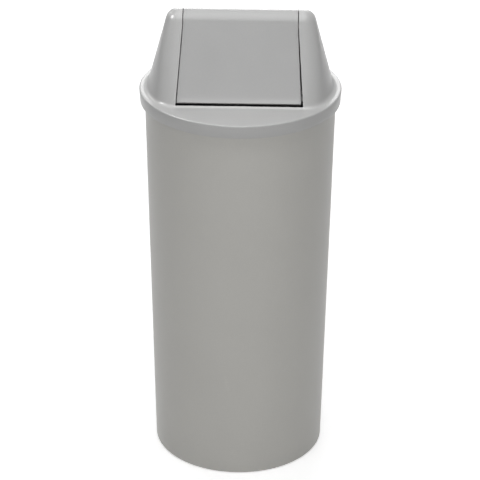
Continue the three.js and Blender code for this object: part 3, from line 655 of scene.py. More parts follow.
    @staticmethod
    def _drawn(wires: Wiring, given: Sockets) -> Values:
        """Fine streaks along one direction, as on drawn wire and turned parts."""
        laid = wires.vector("MULTIPLY", given["Vector"], given["Stretch"])
        return {"Mask": wires.noise(laid, 1.0, 2.0, 0.6)}


def material_of(name: str, layers: Callable[[Wiring, Socket], Values]) -> bpy.types.Material:
    """New material.

    Args:
        name: the material's name.
        layers: gives the shader's inputs from the tree and the object's own coordinates.

    Returns:
        The material.
    """
    material = bpy.data.materials.new(name)
    material.use_nodes = True
    wires = Wiring(material.node_tree)
    wires.fill(wires.tree.nodes["Principled BSDF"], layers(wires, wires.add("TexCoord").outputs["Object"]))
    return material


class Surface(ABC):
    """A finish that a material can be made of."""

    @abstractmethod
    def layers(self, effects: Effects, wires: Wiring, where: Socket) -> Values:
        """Lays the finish's effects over each other.

        Args:
            effects: the shared node groups.
            wires: the material's tree.
            where: the object's own coordinates.

        Returns:
            Values and sockets for the shader's inputs, by name.
        """


@dataclass(frozen=True)
class MouldedPlastic(Surface):
    """Satin moulded polymer."""

    name: str
    color: Color
    roughness: float
    marks: float
    grain: float = 0.00006
    grain_size: float = 620.0

    def layers(self, effects: Effects, wires: Wiring, where: Socket) -> Values:
        """Drifting tone and mould grain, paler and duller where it is rubbed.

        Args:
            effects: the shared node groups.
            wires: the tree that gets the nodes.
            where: the object's own coordinates.

        Returns:
            Values and sockets for the shader's inputs, by name.
        """
        tone = effects.tone(wires, where, self.color, 0.02, 0.012)
        rubs = effects.put(wires, Effect.HANDLING, Vector=where, Amount=self.marks)["Mask"]
        grain = effects.put(wires, Effect.MOULD_GRAIN, Vector=where, Size=self.grain_size, Waves=0.6)
        pale = tuple(min(channel * 1.12, 1.0) for channel in self.color)
        satin = wires.math("MULTIPLY_ADD", tone["Mask"], 0.025, self.roughness)
        return {
            "Base Color": wires.mix(rubs, tone["Color"], pale),
            "Roughness": wires.math("MULTIPLY_ADD", rubs, 0.14, satin),
            "Normal": wires.bump(0.35, self.grain, grain["Height"]),
        }


@dataclass(frozen=True)
class GalvanisedSheet(Surface):
    """Zinc-coated sheet steel with a fine spangle."""

    name: str = "galvanised_sheet"
    color: Color = (0.52, 0.54, 0.56)
    spangle: float = 95.0

    def layers(self, effects: Effects, wires: Wiring, where: Socket) -> Values:
        """Spangle in tone and gloss, darker where it is rubbed.

        Args:
            effects: the shared node groups.
            wires: the tree that gets the nodes.
            where: the object's own coordinates.

        Returns:
            Values and sockets for the shader's inputs, by name.
        """
        color = (*self.color, 1)
        zinc = effects.put(wires, Effect.SPANGLE, Vector=where, Color=color, Size=self.spangle, Contrast=0.16)
        rubs = effects.put(wires, Effect.HANDLING, Vector=where, Amount=0.8)["Mask"]
        return {
            "Base Color": wires.mix(rubs, zinc["Color"], tuple(channel * 0.72 for channel in self.color)),
            "Metallic": 1.0,
            "Roughness": wires.remap(zinc["Gloss"], low=0.3, high=0.48),
            "Normal": wires.bump(0.2, 0.0001, zinc["Height"]),
        }


@dataclass(frozen=True)
class PlatedSteel(Surface):
    """Drawn or turned steel, bright zinc plated or oiled."""

    name: str
    color: Color
    roughness: float
    stretch: Place
    streaks: float = 0.1

    def layers(self, effects: Effects, wires: Wiring, where: Socket) -> Values:
        """Streaks along the metal in gloss and height.

        Args:
            effects: the shared node groups.
            wires: the tree that gets the nodes.
            where: the object's own coordinates.

        Returns:
            Values and sockets for the shader's inputs, by name.
        """
        tone = effects.tone(wires, where, self.color, 0.08, 0.05)
        drawn = effects.put(wires, Effect.DRAWN, Vector=where, Stretch=self.stretch)["Mask"]
        return {
            "Base Color": tone["Color"],
            "Metallic": 1.0,
            "Roughness": wires.math("MULTIPLY_ADD", drawn, self.streaks * 2, self.roughness - self.streaks),
            "Normal": wires.bump(self.streaks, 0.00004, drawn),
        }


@dataclass(frozen=True)
class BlackRubber(Surface):
    """Matt moulded rubber with a dusty bloom."""

    name: str = "rubber"
    color: Color = (0.028, 0.028, 0.03)

    def layers(self, effects: Effects, wires: Wiring, where: Socket) -> Values:
        """Uneven bloom over a fine grain.

        Args:
            effects: the shared node groups.
            wires: the tree that gets the nodes.
            where: the object's own coordinates.

        Returns:
            Values and sockets for the shader's inputs, by name.
        """
        tone = effects.tone(wires, where, self.color, 0.2, 0.2)
        grain = effects.put(wires, Effect.MOULD_GRAIN, Vector=where, Size=1400.0, Waves=0.0)
        return {
            "Base Color": tone["Color"],
            "Roughness": wires.math("MULTIPLY_ADD", tone["Mask"], 0.06, 0.72),
            "Normal": wires.bump(0.5, 0.00006, grain["Height"]),
        }


class Finish(Enum):
    """The finishes, by the slot that they have in the record."""

    BODY = MouldedPlastic("body_plastic", (0.522, 0.514, 0.486), 0.38, 0.25, grain_size=520.0)
    HOOD = MouldedPlastic("hood_plastic", (0.465, 0.465, 0.461), 0.3, 0.12)
    DOOR = MouldedPlastic("door_plastic", (0.4, 0.4, 0.398), 0.31, 0.12)
    NYLON = MouldedPlastic("nylon", (0.72, 0.7, 0.62), 0.45, 0.2, grain=0.00003)
    RUBBER = BlackRubber()
    ZINC = PlatedSteel("zinc_steel", (0.66, 0.67, 0.68), 0.28, (30.0, 1800.0, 1800.0))
    SPRING = PlatedSteel("spring_steel", (0.3, 0.3, 0.31), 0.34, (400.0, 1500.0, 1500.0), 0.14)
    GALVANISED = GalvanisedSheet()


class Wardrobe:
    """Makes each finish once and puts it on the pieces."""

    def __init__(self) -> None:
        """Builds the shared groups and the materials."""
        effects = Effects()
        self.materials = {
            finish: material_of(finish.value.name, partial(finish.value.layers, effects)) for finish in Finish
        }

    def dress(self, piece: Piece, name: str, body: str, finish: Finish, smooth: float = 35.0) -> None:
        """Names a piece, gives it its finish and sets it in the frame.

        Args:
            piece: the finished mesh.
            name: the CAD node that it stands for, which its own name is made from.
            body: the body that it rides on, or an empty text for one that is attached to none.
            finish: its finish.
            smooth: edges flatter than this many degrees are shaded smooth.
        """
        pick(piece)
        bpy.ops.object.shade_smooth_by_angle(angle=math.radians(smooth))
        piece.name = name + "_dressed"
        piece.data.name = piece.name
        piece.data.materials.clear()
        piece.data.materials.append(self.materials[finish])
        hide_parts(name)
        if body:
            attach(piece, body)
        log.info("%s: %d faces, %s", name, len(piece.data.polygons), finish.value.name)


# ---------- The bin ----------


@dataclass
class BinBody:
    """Tapered round bin that stands on a foot ring."""

    height: float = 771 * MM
    top_radius: float = 185 * MM
    base_radius: float = 169.3 * MM
    wall: float = 3 * MM
    corner: float = 6.5 * MM
    foot_width: float = 8 * MM
    foot_slant: float = 3.6 * MM
    floor_raise: float = 6 * MM
    floor_thickness: float = 3.5 * MM
    lip_out: float = 4.6 * MM
    lip_depth: float = 10 * MM
    lip_wall: float = 2.5 * MM
    soft: float = 0.4 * MM
    inner_soft: float = 1 * MM
    lip_lead: float = 0.3 * MM
    relief: float = 1 * MM
    rings: int = 12
    segments: int = 160

    def profile(self) -> list[Pair]:
        """Section of the bin, from the middle of its underside round to the middle of its floor.

        Returns:
            (radius, height) points.
        """
        foot_out = self.base_radius - self.corner
        foot_in = foot_out - self.foot_width
        floor_edge = foot_in - self.foot_slant
        floor_top = self.floor_raise + self.floor_thickness
        lip = self.top_radius + self.lip_out
        bend = self.lip_wall
        under_lip = self.height - self.lip_wall
        lip_end = self.height - self.lip_depth
        soft, inner_soft = self.soft, self.inner_soft
        radii = between(self.base_radius, self.top_radius, self.rings)
        return [
            (0, self.floor_raise), (foot_in * 0.5, self.floor_raise), (floor_edge, self.floor_raise),
            (foot_in - soft, soft), (foot_in + soft, 0),
            *arc((foot_out, self.corner), self.corner, -90, 0, 10),
            *[*zip(radii, between(self.corner, lip_end, self.rings))][1:-1],
            (self.top_radius, under_lip - self.relief), (self.top_radius + soft, under_lip),
            (lip - bend, under_lip), (lip - bend, lip_end),
            (lip - self.lip_lead, lip_end), (lip, lip_end + self.lip_lead),
            *arc((lip - bend, self.height - bend), bend, 0, 90, 5),
            *arc((self.top_radius - self.wall + inner_soft, self.height - inner_soft), inner_soft, 90, 180, 3),
            *arc((foot_out, self.corner + self.relief), self.corner - self.wall, 0, -90, 6),
            (floor_edge, floor_top), (foot_in * 0.5, floor_top), (0, floor_top),
        ]

    def build(self, wardrobe: Wardrobe) -> None:
        """Builds and dresses the bin with the finishes."""
        wardrobe.dress(turned(self.profile(), self.segments), "body_shell", "bin", Finish.BODY)


# ---------- The hood ----------


@dataclass
class Slope:
    """The front slope's own frame: drop runs down it from the hinge, level stands out from it."""

    angle: float = math.radians(59.5)
    axis: float = 899 * MM
    ridge: float = 32 * MM

    def at(self, drop: float, level: float) -> Pair:
        """(y, z) of a drop and a level.

        Args:
            drop: how far down the slope.
            level: how far out of it.

        Returns:
            The point in the plane of Y and Z.
        """
        return (
            -drop * math.cos(self.angle) - level * math.sin(self.angle),
            self.axis - drop * math.sin(self.angle) + level * math.cos(self.angle),
        )

    def on_face(self, drop: float) -> Pair:
        """(y, z) of a drop on the slope's outer face."""
        return self.at(drop, self.ridge)

    def drop_of(self, y: float, z: float) -> float:
        """How far down the slope a (y, z) lies."""
        return -y * math.cos(self.angle) - (z - self.axis) * math.sin(self.angle)

    def round(self, radius: float, past: float) -> Pair:
        """(y, z) at a radius round the hinge, at an angle past the crest towards the rear."""
        return radius * math.sin(past), self.axis + radius * math.cos(past)

    def normal(self) -> Vector:
        """Direction square out of the slope."""
        return Vector((0, -math.sin(self.angle), math.cos(self.angle)))


@dataclass
class Opening:
    """Door opening: its sides spread from the hinge down to the sill."""

    slope: Slope
    half_top: float = 110.4 * MM
    half_bottom: float = 121 * MM
    taper_start: float = 6 * MM
    sill: float = 159.861 * MM
    rear_seam: float = math.radians(50)
    flange_depth: float = 16 * MM
    flange_wall: float = 3 * MM
    tab_radius: float = 16 * MM
    bore: float = 4.7 * MM

    def spread(self, y: float, z: float) -> float:
        """Share of the spreading that a (y, z) has reached."""
        return max(0.0, (self.slope.drop_of(y, z) - self.taper_start) / (self.sill - self.taper_start))

    def half(self, y: float, z: float) -> float:
        """Half width of the opening at a (y, z)."""
        return self.half_top + (self.half_bottom - self.half_top) * self.spread(y, z)


@dataclass
class HoodShell:
    """Lift-off hood: skirt, flat deck and leaning dome with the door's opening."""

    slope: Slope
    opening: Opening
    wall: float = 3 * MM
    deck: float = 774.3 * MM
    top: float = 931 * MM
    rim_radius: float = 195.5 * MM
    rim_rounding: float = 3 * MM
    skirt: float = 26 * MM
    skirt_taper: float = 1.5 * MM
    base_radius: float = 180.5 * MM
    lean: float = math.radians(15.1)
    rear_shift: float = 5.5 * MM
    shift_turns: Pair = (math.radians(24), math.radians(43))
    crest_half: float = 3 * MM
    shoulder: float = 26 * MM
    corner_base: float = 44 * MM
    corner_top: float = 25 * MM
    corner_rate: float = 1.2
    corner_limit: float = 0.85
    fillet: float = 11 * MM
    edge: float = 0.9 * MM
    across: int = 14
    round_side: int = 48
    beside: float = 1.6 * MM
    corner_steps: int = 40
    cheek_steps: int = 60
    face_rings: int = 11
    fillet_turns: tuple[float, ...] = (0, 9, 18, 27, 36, 45, 52, 67, 75)
    fold: Pair = (0.01 * MM, 0.2 * MM)
    near: float = 0.5 * MM
    on_seam: float = 0.05 * MM
    soft: float = 0.4 * MM
    rib_count: int = 8
    rib_size: Place = (3.4 * MM, 2.5 * MM, 18 * MM)
    rib_inner: float = 189.9 * MM
    rib_soft: float = 0.5 * MM

    def _fillet_reach(self, height: float, slope: float) -> float:
        """Extra reach of the fillet between the deck and a wall of this slope.

        Args:
            height: height above the deck.
            slope: angle of the wall from the deck.

        Returns:
            The reach.
        """
        if height >= self.fillet * (1 - math.cos(slope)):
            return 0.0
        above = max(height, 0.0)
        below = self.fillet - above
        return self.fillet * math.tan(slope / 2) - math.sqrt(self.fillet**2 - below**2) + above / math.tan(slope)

    def _depths(self, z: float) -> Pair:
        """Half depth of the dome in front of and behind the hinge at a height.

        Args:
            z: the height.

        Returns:
            The front and the rear half depth.
        """
        ridge, angle = self.slope.ridge, self.slope.angle
        above = z - self.slope.axis
        roll = math.sqrt(max(ridge**2 - above**2, 0.0))
        plane = (ridge - above * math.cos(angle)) / math.sin(angle)
        front = max(roll if above > ridge * math.cos(angle) else plane, self.crest_half)
        front += self._fillet_reach(z - self.deck, angle)
        past = math.acos(max(-1.0, min(1.0, above / ridge)))
        start, end = self.shift_turns
        share = min(max((past - start) / (end - start), 0.0), 1.0)
        return front, front + self.rear_shift * share**2 * (3 - 2 * share)

    def _radius(self, z: float) -> float:
        """Radius of the cheeks at a height.

        Args:
            z: the height.

        Returns:
            The radius.
        """
        centre = self.top - self.shoulder
        over = z - centre
        if over > self.shoulder * math.sin(self.lean):
            foot = self.base_radius - (centre - self.deck) * math.tan(self.lean)
            return foot - self.shoulder / math.cos(self.lean) + math.sqrt(max(self.shoulder**2 - over**2, 0.0))
        side = self.base_radius - (z - self.deck) * math.tan(self.lean)
        return side + self._fillet_reach(z - self.deck, math.pi / 2 - self.lean)

    def _half_ring(self, z: float) -> list[Pair]:
        """Dense right half of the dome's level section, from the front middle to the rear middle.

        Args:
            z: the section's height.

        Returns:
            (x, y) points.
        """
        front, rear = self._depths(z)
        radius = self._radius(z)
        rise = max(z - self.deck, 0.0) / (self.top - self.deck)
        wanted = self.corner_base + (self.corner_top - self.corner_base) * min(rise * self.corner_rate, 1.0)
        corners = []
        for depth, sign in ((front, -1), (rear, 1)):
            fill = min(wanted, self.corner_limit * depth)
            y = depth - fill
            x = math.sqrt((radius - fill) ** 2 - y**2)
            corners.append(((x, sign * y), fill, sign * math.degrees(math.atan2(y, x))))
        (front_centre, front_fill, front_turn), (rear_centre, rear_fill, rear_turn) = corners
        return [
            (0.0, -front),
            *arc(front_centre, front_fill, -90, front_turn, self.corner_steps),
            *arc((0, 0), radius, front_turn, rear_turn, self.cheek_steps)[1:-1],
            *arc(rear_centre, rear_fill, rear_turn, 90, self.corner_steps),
            (0.0, rear),
        ]

    def _ring(self, z: float) -> list[Place]:
        """Evenly spaced ring of the dome at a height, with columns on the opening's sides.

        Args:
            z: the ring's height.

        Returns:
            Places round the ring from the front middle, towards +X first.
        """
        dense = self._half_ring(z)
        lengths = [0.0]
        for here, there in zip(dense, dense[1:]):
            lengths.append(lengths[-1] + math.dist(here, there))
        xs, ys = zip(*dense)
        widest = xs.index(max(xs))
        first = read_off(self.opening.half(ys[0], z), xs[:widest + 1], lengths)
        last = read_off(self.opening.half_top, xs[:widest - 1:-1], lengths[:widest - 1:-1])
        stops = [
            *between(0.0, first, self.across),
            *between(first + self.beside, last - self.beside, self.round_side - 2),
            *between(last, lengths[-1], self.across),
        ]
        right = [(read_off(stop, lengths, xs), read_off(stop, lengths, ys), z) for stop in stops]
        return right + [(-x, y, z) for x, y, z in right[-2:0:-1]]

    def _heights(self) -> list[float]:
        """Heights of the dome's rings, with rings on the sill, the seam and the taper's start.

        Returns:
            The heights, rising.
        """
        sill = self.slope.on_face(self.opening.sill)[1]
        taper = self.slope.on_face(self.opening.taper_start)[1]
        fillet = [self.deck + self.fillet * (1 - math.cos(math.radians(turn))) for turn in self.fillet_turns]
        heights = [z for z in fillet if abs(z - sill) > self.edge]
        roll_start = self.slope.round(self.slope.ridge, self.slope.angle)[1]
        heights += between(heights[-1], roll_start, self.face_rings)[1:-1]
        begin, end = math.pi / 2 - self.slope.angle, math.acos(self.crest_half / self.slope.ridge)
        turns = between(begin, end, self.face_rings)
        heights += [self.slope.axis + self.slope.ridge * math.sin(turn) for turn in turns]
        return sorted([*heights, sill, taper, self.seam_height()])

    def seam_height(self) -> float:
        """Height of the opening's rear seam on the rear roll.

        Returns:
            The height.
        """
        reach = self.rear_shift * math.sin(self.opening.rear_seam)
        length = reach + math.sqrt(reach**2 + self.slope.ridge**2 - self.rear_shift**2)
        return self.slope.axis + length * math.cos(self.opening.rear_seam)

    def _folded(self, crest: Sequence[Place]) -> list[Place]:
        """Last row, where the front and the rear half of the crest meet on its middle line.

        Args:
            crest: the topmost ring.

        Returns:
            The row's places.
        """
        half = len(crest) // 2
        step, limit = self.fold
        row = []
        for index, (_, _, z) in enumerate(crest):
            twin = min(index, len(crest) - index)
            inward = min(max(min(twin, half - twin) - self.across, 0) * step, limit)
            width = min(crest[twin][0], crest[half - twin][0]) - inward
            row.append((width if index <= half else -width, 0.0, z))
        return row

    def _rows(self) -> list[list[Place]]:
        """All rows of the hood's outer skin, from the foot of the skirt to the crest.

        Returns:
            The rows, from below.
        """
        rings = [self._ring(z) for z in self._heights()]
        turns = [math.atan2(y, x) for x, y, _ in rings[0]]

        def circle(radius: float, z: float) -> list[Place]:
            """Ring of the skirt whose places face those of the dome."""
            return [(radius * math.cos(turn), radius * math.sin(turn), z) for turn in turns]

        foot = self.deck - self.skirt
        flat = self.rim_radius - self.rim_rounding
        levels = [
            (self.rim_radius - self.skirt_taper, foot),
            (self.rim_radius - self.skirt_taper * 0.5, (foot + self.deck) / 2),
            *arc((flat, self.deck - self.rim_rounding), self.rim_rounding, 0, 90, 7),
        ]
        midway = [tuple(Vector(a).lerp(Vector(b), 0.5)) for a, b in zip(circle(flat, self.deck), rings[0])]
        return [*(circle(*level) for level in levels), midway, *rings, self._folded(rings[-1])]

    def _skin(self) -> Piece:
        """Outer skin with the opening cut out and its flanges turned in.

        Returns:
            The skin as an open surface.
        """
        piece = sheet(self._rows(), closed=True)
        sill = self.slope.on_face(self.opening.sill)[1]
        seam = self.seam_height()
        with editing(piece, selected=False):
            choose(piece, "FACE", lambda face: self._in_opening(face.calc_center_median(), sill, seam))
            bpy.ops.mesh.delete(type="FACE")
            face_outward()
            bpy.ops.mesh.select_all(action="DESELECT")
            choose(piece, "EDGE", lambda edge: self._on_rim(edge, seam))
            extrude((0, 0, 0))
            for vertex in bmesh.from_edit_mesh(piece.data).verts:
                if vertex.select:
                    vertex.co = self._turned_in(vertex.co)
            bmesh.update_edit_mesh(piece.data)
            choose(piece, "EDGE", lambda edge: is_sharp(edge) and edge.verts[0].co.z >= self.deck + self.near * 2)
            bpy.ops.mesh.bevel(offset=self.edge, segments=3, affect="EDGES", profile=0.5)
            face_outward()
        return piece

    def _in_opening(self, middle: Vector, sill: float, seam: float) -> bool:
        """True for the middle of a face that lies in the opening.

        Args:
            middle: the face's middle.
            sill: height of the sill.
            seam: height of the rear seam.

        Returns:
            Whether the face goes.
        """
        if abs(middle.x) > self.opening.half(middle.y, middle.z) + self.near or middle.z < sill:
            return False
        return middle.y < 0 or middle.z > seam

    def _on_rim(self, edge: Edge, seam: float) -> bool:
        """True for an edge of the opening that gets a flange: both sides and the sill.

        Args:
            edge: the edge.
            seam: height of the rear seam.

        Returns:
            Whether it gets a flange.
        """
        ends = [vertex.co for vertex in edge.verts]
        if not edge.is_boundary or (ends[0].z + ends[1].z) / 2 < self.deck - self.near:
            return False
        return not all(end.y > 0 and abs(end.z - seam) < self.on_seam for end in ends)

    def _turned_in(self, place: Vector) -> Vector:
        """Inner end of the flange for a place on the opening's rim.

        Args:
            place: a place on the rim.

        Returns:
            The place at the flange's inner end.
        """
        inner = self.slope.ridge - self.opening.flange_depth
        drop = self.slope.drop_of(place.y, place.z)
        if drop > 0:
            return Vector((place.x, *self.slope.at(drop, inner)))
        return Vector((place.x, *self.slope.round(inner, math.atan2(place.y, place.z - self.slope.axis))))

    def _tab(self, side: int) -> Piece:
        """Hinge tab of one side: a ring round the bore, from the rear seam below to the front flange.

        Args:
            side: -1 for the left, 1 for the right.

        Returns:
            The closed tab.
        """
        start, end = self.opening.rear_seam, 2 * math.pi - self.slope.angle
        turns = between(start, end, 40) + between(end, 2 * math.pi + start, 16)[1:]
        x = side * self.opening.half_top
        radii = (self.opening.bore, self.opening.tab_radius)
        tab = sheet([[(x, *self.slope.round(radius, turn)) for turn in turns] for radius in radii])
        with editing(tab):
            extrude((side * self.opening.flange_wall, 0, 0))
            face_outward()
        return tab

    def _ribs(self) -> list[Piece]:
        """Centring ribs inside the skirt, all copies of one.

        Returns:
            The ribs.
        """
        length, _, high = self.rib_size
        place = (self.rib_inner + length / 2, 0, self.deck - self.wall / 2 - high / 2)
        pattern = placed(block(self.rib_size, self.rib_soft), Matrix.Translation(place))
        turns = [(i + 0.5) * 2 * math.pi / self.rib_count for i in range(self.rib_count)]
        return copies(pattern, [Matrix.Rotation(turn, 4, "Z") for turn in turns])

    def build(self, wardrobe: Wardrobe) -> None:
        """Builds the hood and dresses it with the finishes.

        Args:
            wardrobe: the finishes.
        """
        skin = self._skin()
        thickened(skin, self.wall, self.soft)
        hood = joined([skin, self._tab(-1), self._tab(1), *self._ribs()])
        wardrobe.dress(hood, "hood_shell", "hood", Finish.HOOD, smooth=30.0)


# ---------- The push door ----------


@dataclass
class PushDoor:
    """Door that rolls over the ridge, with side flanges, a lower flange, knuckles and stop lugs."""

    slope: Slope
    opening: Opening
    wall: float = 3 * MM
    gap_top: float = 1.3 * MM
    gap_left: float = 1.6 * MM
    gap_right: float = 3.5 * MM
    gap_bottom: float = 5 * MM
    rounding: float = 1.4 * MM
    roll_end: float = math.radians(120)
    flange_depth: float = 18 * MM
    flange_start: float = 26 * MM
    columns: int = 24
    roll_rings: int = 34
    panel_rings: int = 8
    soft: float = 0.5 * MM
    knuckle_wall: float = 3 * MM
    knuckle_depth: float = 20 * MM
    knuckle_length: float = 112 * MM
    knuckle_offset: float = 93.8 * MM
    knuckle_turns: Pair = (0.2, 1.2)
    knuckle_soft: float = 0.4 * MM
    stop_rise: float = 20 * MM
    stop_length: float = 22 * MM
    stop_wall: float = 3 * MM
    stop_level: float = 10.4 * MM
    stop_past: float = 2 * MM
    stop_soft: float = 0.6 * MM
    bumper_radius: float = 4.3 * MM
    bumper_offset: float = 3.2 * MM
    bumper_height: float = 5 * MM
    bumper_crown: float = 1.2 * MM
    bumper_stem: float = 2 * MM
    bumper_bulb: float = 2.9 * MM
    bumper_tip: Pair = (2.4 * MM, 2.2 * MM)
    fit: float = 0.3 * MM

    @property
    def foot(self) -> float:
        """Drop of the door's lower edge."""
        return self.opening.sill - self.gap_bottom

    @property
    def stop_drop(self) -> float:
        """Drop of the stops' middles."""
        return self.foot - self.stop_rise

    @property
    def stop_x(self) -> float:
        """Distance of the bumpers from the middle."""
        return self.opening.half(*self.slope.at(self.stop_drop, 0)) + self.bumper_offset

    def on_stop(self, x: float, level: float) -> Matrix:
        """Places a piece made at the origin, +Z out of the slope, at the stops' height."""
        place = Matrix.Translation((x, *self.slope.at(self.stop_drop, level)))
        return place @ Matrix.Rotation(self.slope.angle, 4, "X")

    def half(self, side: int, y: float, z: float) -> float:
        """Half width of the door on one side at a (y, z)."""
        gap = self.gap_left if side < 0 else self.gap_right
        return self.opening.half(y, z) - self.gap_top - (gap - self.gap_top) * self.opening.spread(y, z)

    def _profile(self) -> list[tuple[Pair, float]]:
        """Rows of the door from its rear edge to its foot: ((y, z), drop), with drop 0 on the roll.

        Returns:
            The rows.
        """
        start = self.flange_start
        drops = [self.opening.taper_start, start, start + self.flange_depth / 2]
        drops += between(start + self.flange_depth, self.foot, self.panel_rings)
        turns = between(self.roll_end, -self.slope.angle, self.roll_rings)
        return [
            *((self.slope.round(self.slope.ridge, turn), 0.0) for turn in turns),
            *((self.slope.on_face(drop), drop) for drop in drops),
        ]

    def _skin(self) -> Piece:
        """Panel, roll and turned-in flanges as one surface.

        Returns:
            The skin as an open surface.
        """
        rows = []
        for (y, z), drop in self._profile():
            left, right = -self.half(-1, y, z), self.half(1, y, z)
            depth = min(self.flange_depth, max(0.0, drop - self.flange_start))
            inner = self.slope.at(drop, self.slope.ridge - depth) if depth > 0 else (y, z)
            row = [(x, y, z) for x in between(left, right, self.columns)]
            rows.append([(left, *inner), *row, (right, *inner)])
        lower = self.slope.at(self.foot, self.slope.ridge - self.flange_depth)
        rows.append([(x, *lower) for x, _, _ in rows[-1]])
        piece = sheet(rows)
        with editing(piece):
            face_outward()
            choose(piece, "EDGE", is_sharp)
            bpy.ops.mesh.bevel(offset=self.rounding, segments=4, affect="EDGES", profile=0.5)
        return piece

    def _knuckle(self, x: float) -> Piece:
        """Knuckle disc round the rod with its tapering rib, at a place of its middle.

        Args:
            x: place of its middle.

        Returns:
            The closed knuckle.
        """
        rim = self.slope.ridge - self.wall / 2
        after, before = self.knuckle_turns
        start, end = self.roll_end + after, 2 * math.pi - self.slope.angle - before
        outline = [
            self.slope.at(self.knuckle_length, rim),
            *(self.slope.round(rim, past) for past in between(-self.slope.angle, self.roll_end, 24)),
            *(self.slope.round(self.opening.tab_radius, past) for past in between(start, end, 12)),
            self.slope.at(self.knuckle_depth * 2, self.slope.ridge - self.knuckle_depth),
            self.slope.at(self.knuckle_length, self.slope.ridge - self.wall * 2),
        ]
        knuckle = plate(outline, x, self.knuckle_wall)
        softened(knuckle, self.knuckle_soft)
        return knuckle

    def _lug(self, side: int) -> Piece:
        """Stop lug of one side, which reaches behind the hood's flange.

        Args:
            side: -1 for the left, 1 for the right.

        Returns:
            The lug in its place.
        """
        start = self.half(side, *self.slope.at(self.stop_drop, self.stop_level)) - self.wall / 2
        end = self.stop_x + self.bumper_radius + self.stop_past
        lug = block((end - start, self.stop_length, self.stop_wall), self.stop_soft)
        return placed(lug, self.on_stop(side * (start + end) / 2, self.stop_level - self.stop_wall / 2))

    def _bumper(self) -> Piece:
        """Rubber bumper with the stem and bulb that hold it in its lug, standing on Z.

        Returns:
            The bumper.
        """
        under = self.stop_level - self.stop_wall - self.fit
        seat = self.stop_level + self.fit
        head = seat + self.bumper_height
        crown, bulb, foot = self.bumper_crown, 0.7 * MM, 0.4 * MM
        tip, tip_edge = self.bumper_tip
        return turned([
            (0, under - tip),
            (self.bumper_stem, under - tip_edge),
            *arc((self.bumper_bulb - bulb, under - bulb), bulb, -60, 90, 5),
            (self.bumper_stem, under),
            (self.bumper_stem, seat),
            *arc((self.bumper_radius - foot, seat + foot), foot, -90, 0, 3),
            *arc((self.bumper_radius - crown, head - crown), crown, 0, 90, 5),
            (0, head),
        ], 32)

    def build(self, wardrobe: Wardrobe) -> None:
        """Builds the door and its bumpers and dresses them with the finishes.

        Args:
            wardrobe: the finishes.
        """
        skin = self._skin()
        thickened(skin, self.wall, self.soft)
        knuckles = [self._knuckle(x) for x in (-self.knuckle_offset, 0, self.knuckle_offset)]
        door = joined([skin, *knuckles, self._lug(-1), self._lug(1)])
        wardrobe.dress(door, "push_door", "door", Finish.DOOR, smooth=30.0)
        seats = [self.on_stop(side * self.stop_x, 0) for _, side in SIDES]
        for (name, _), bumper in zip(SIDES, copies(self._bumper(), seats)):
            wardrobe.dress(bumper, f"{name}_door_bumper", "door", Finish.RUBBER)


# ---------- The hinge ----------


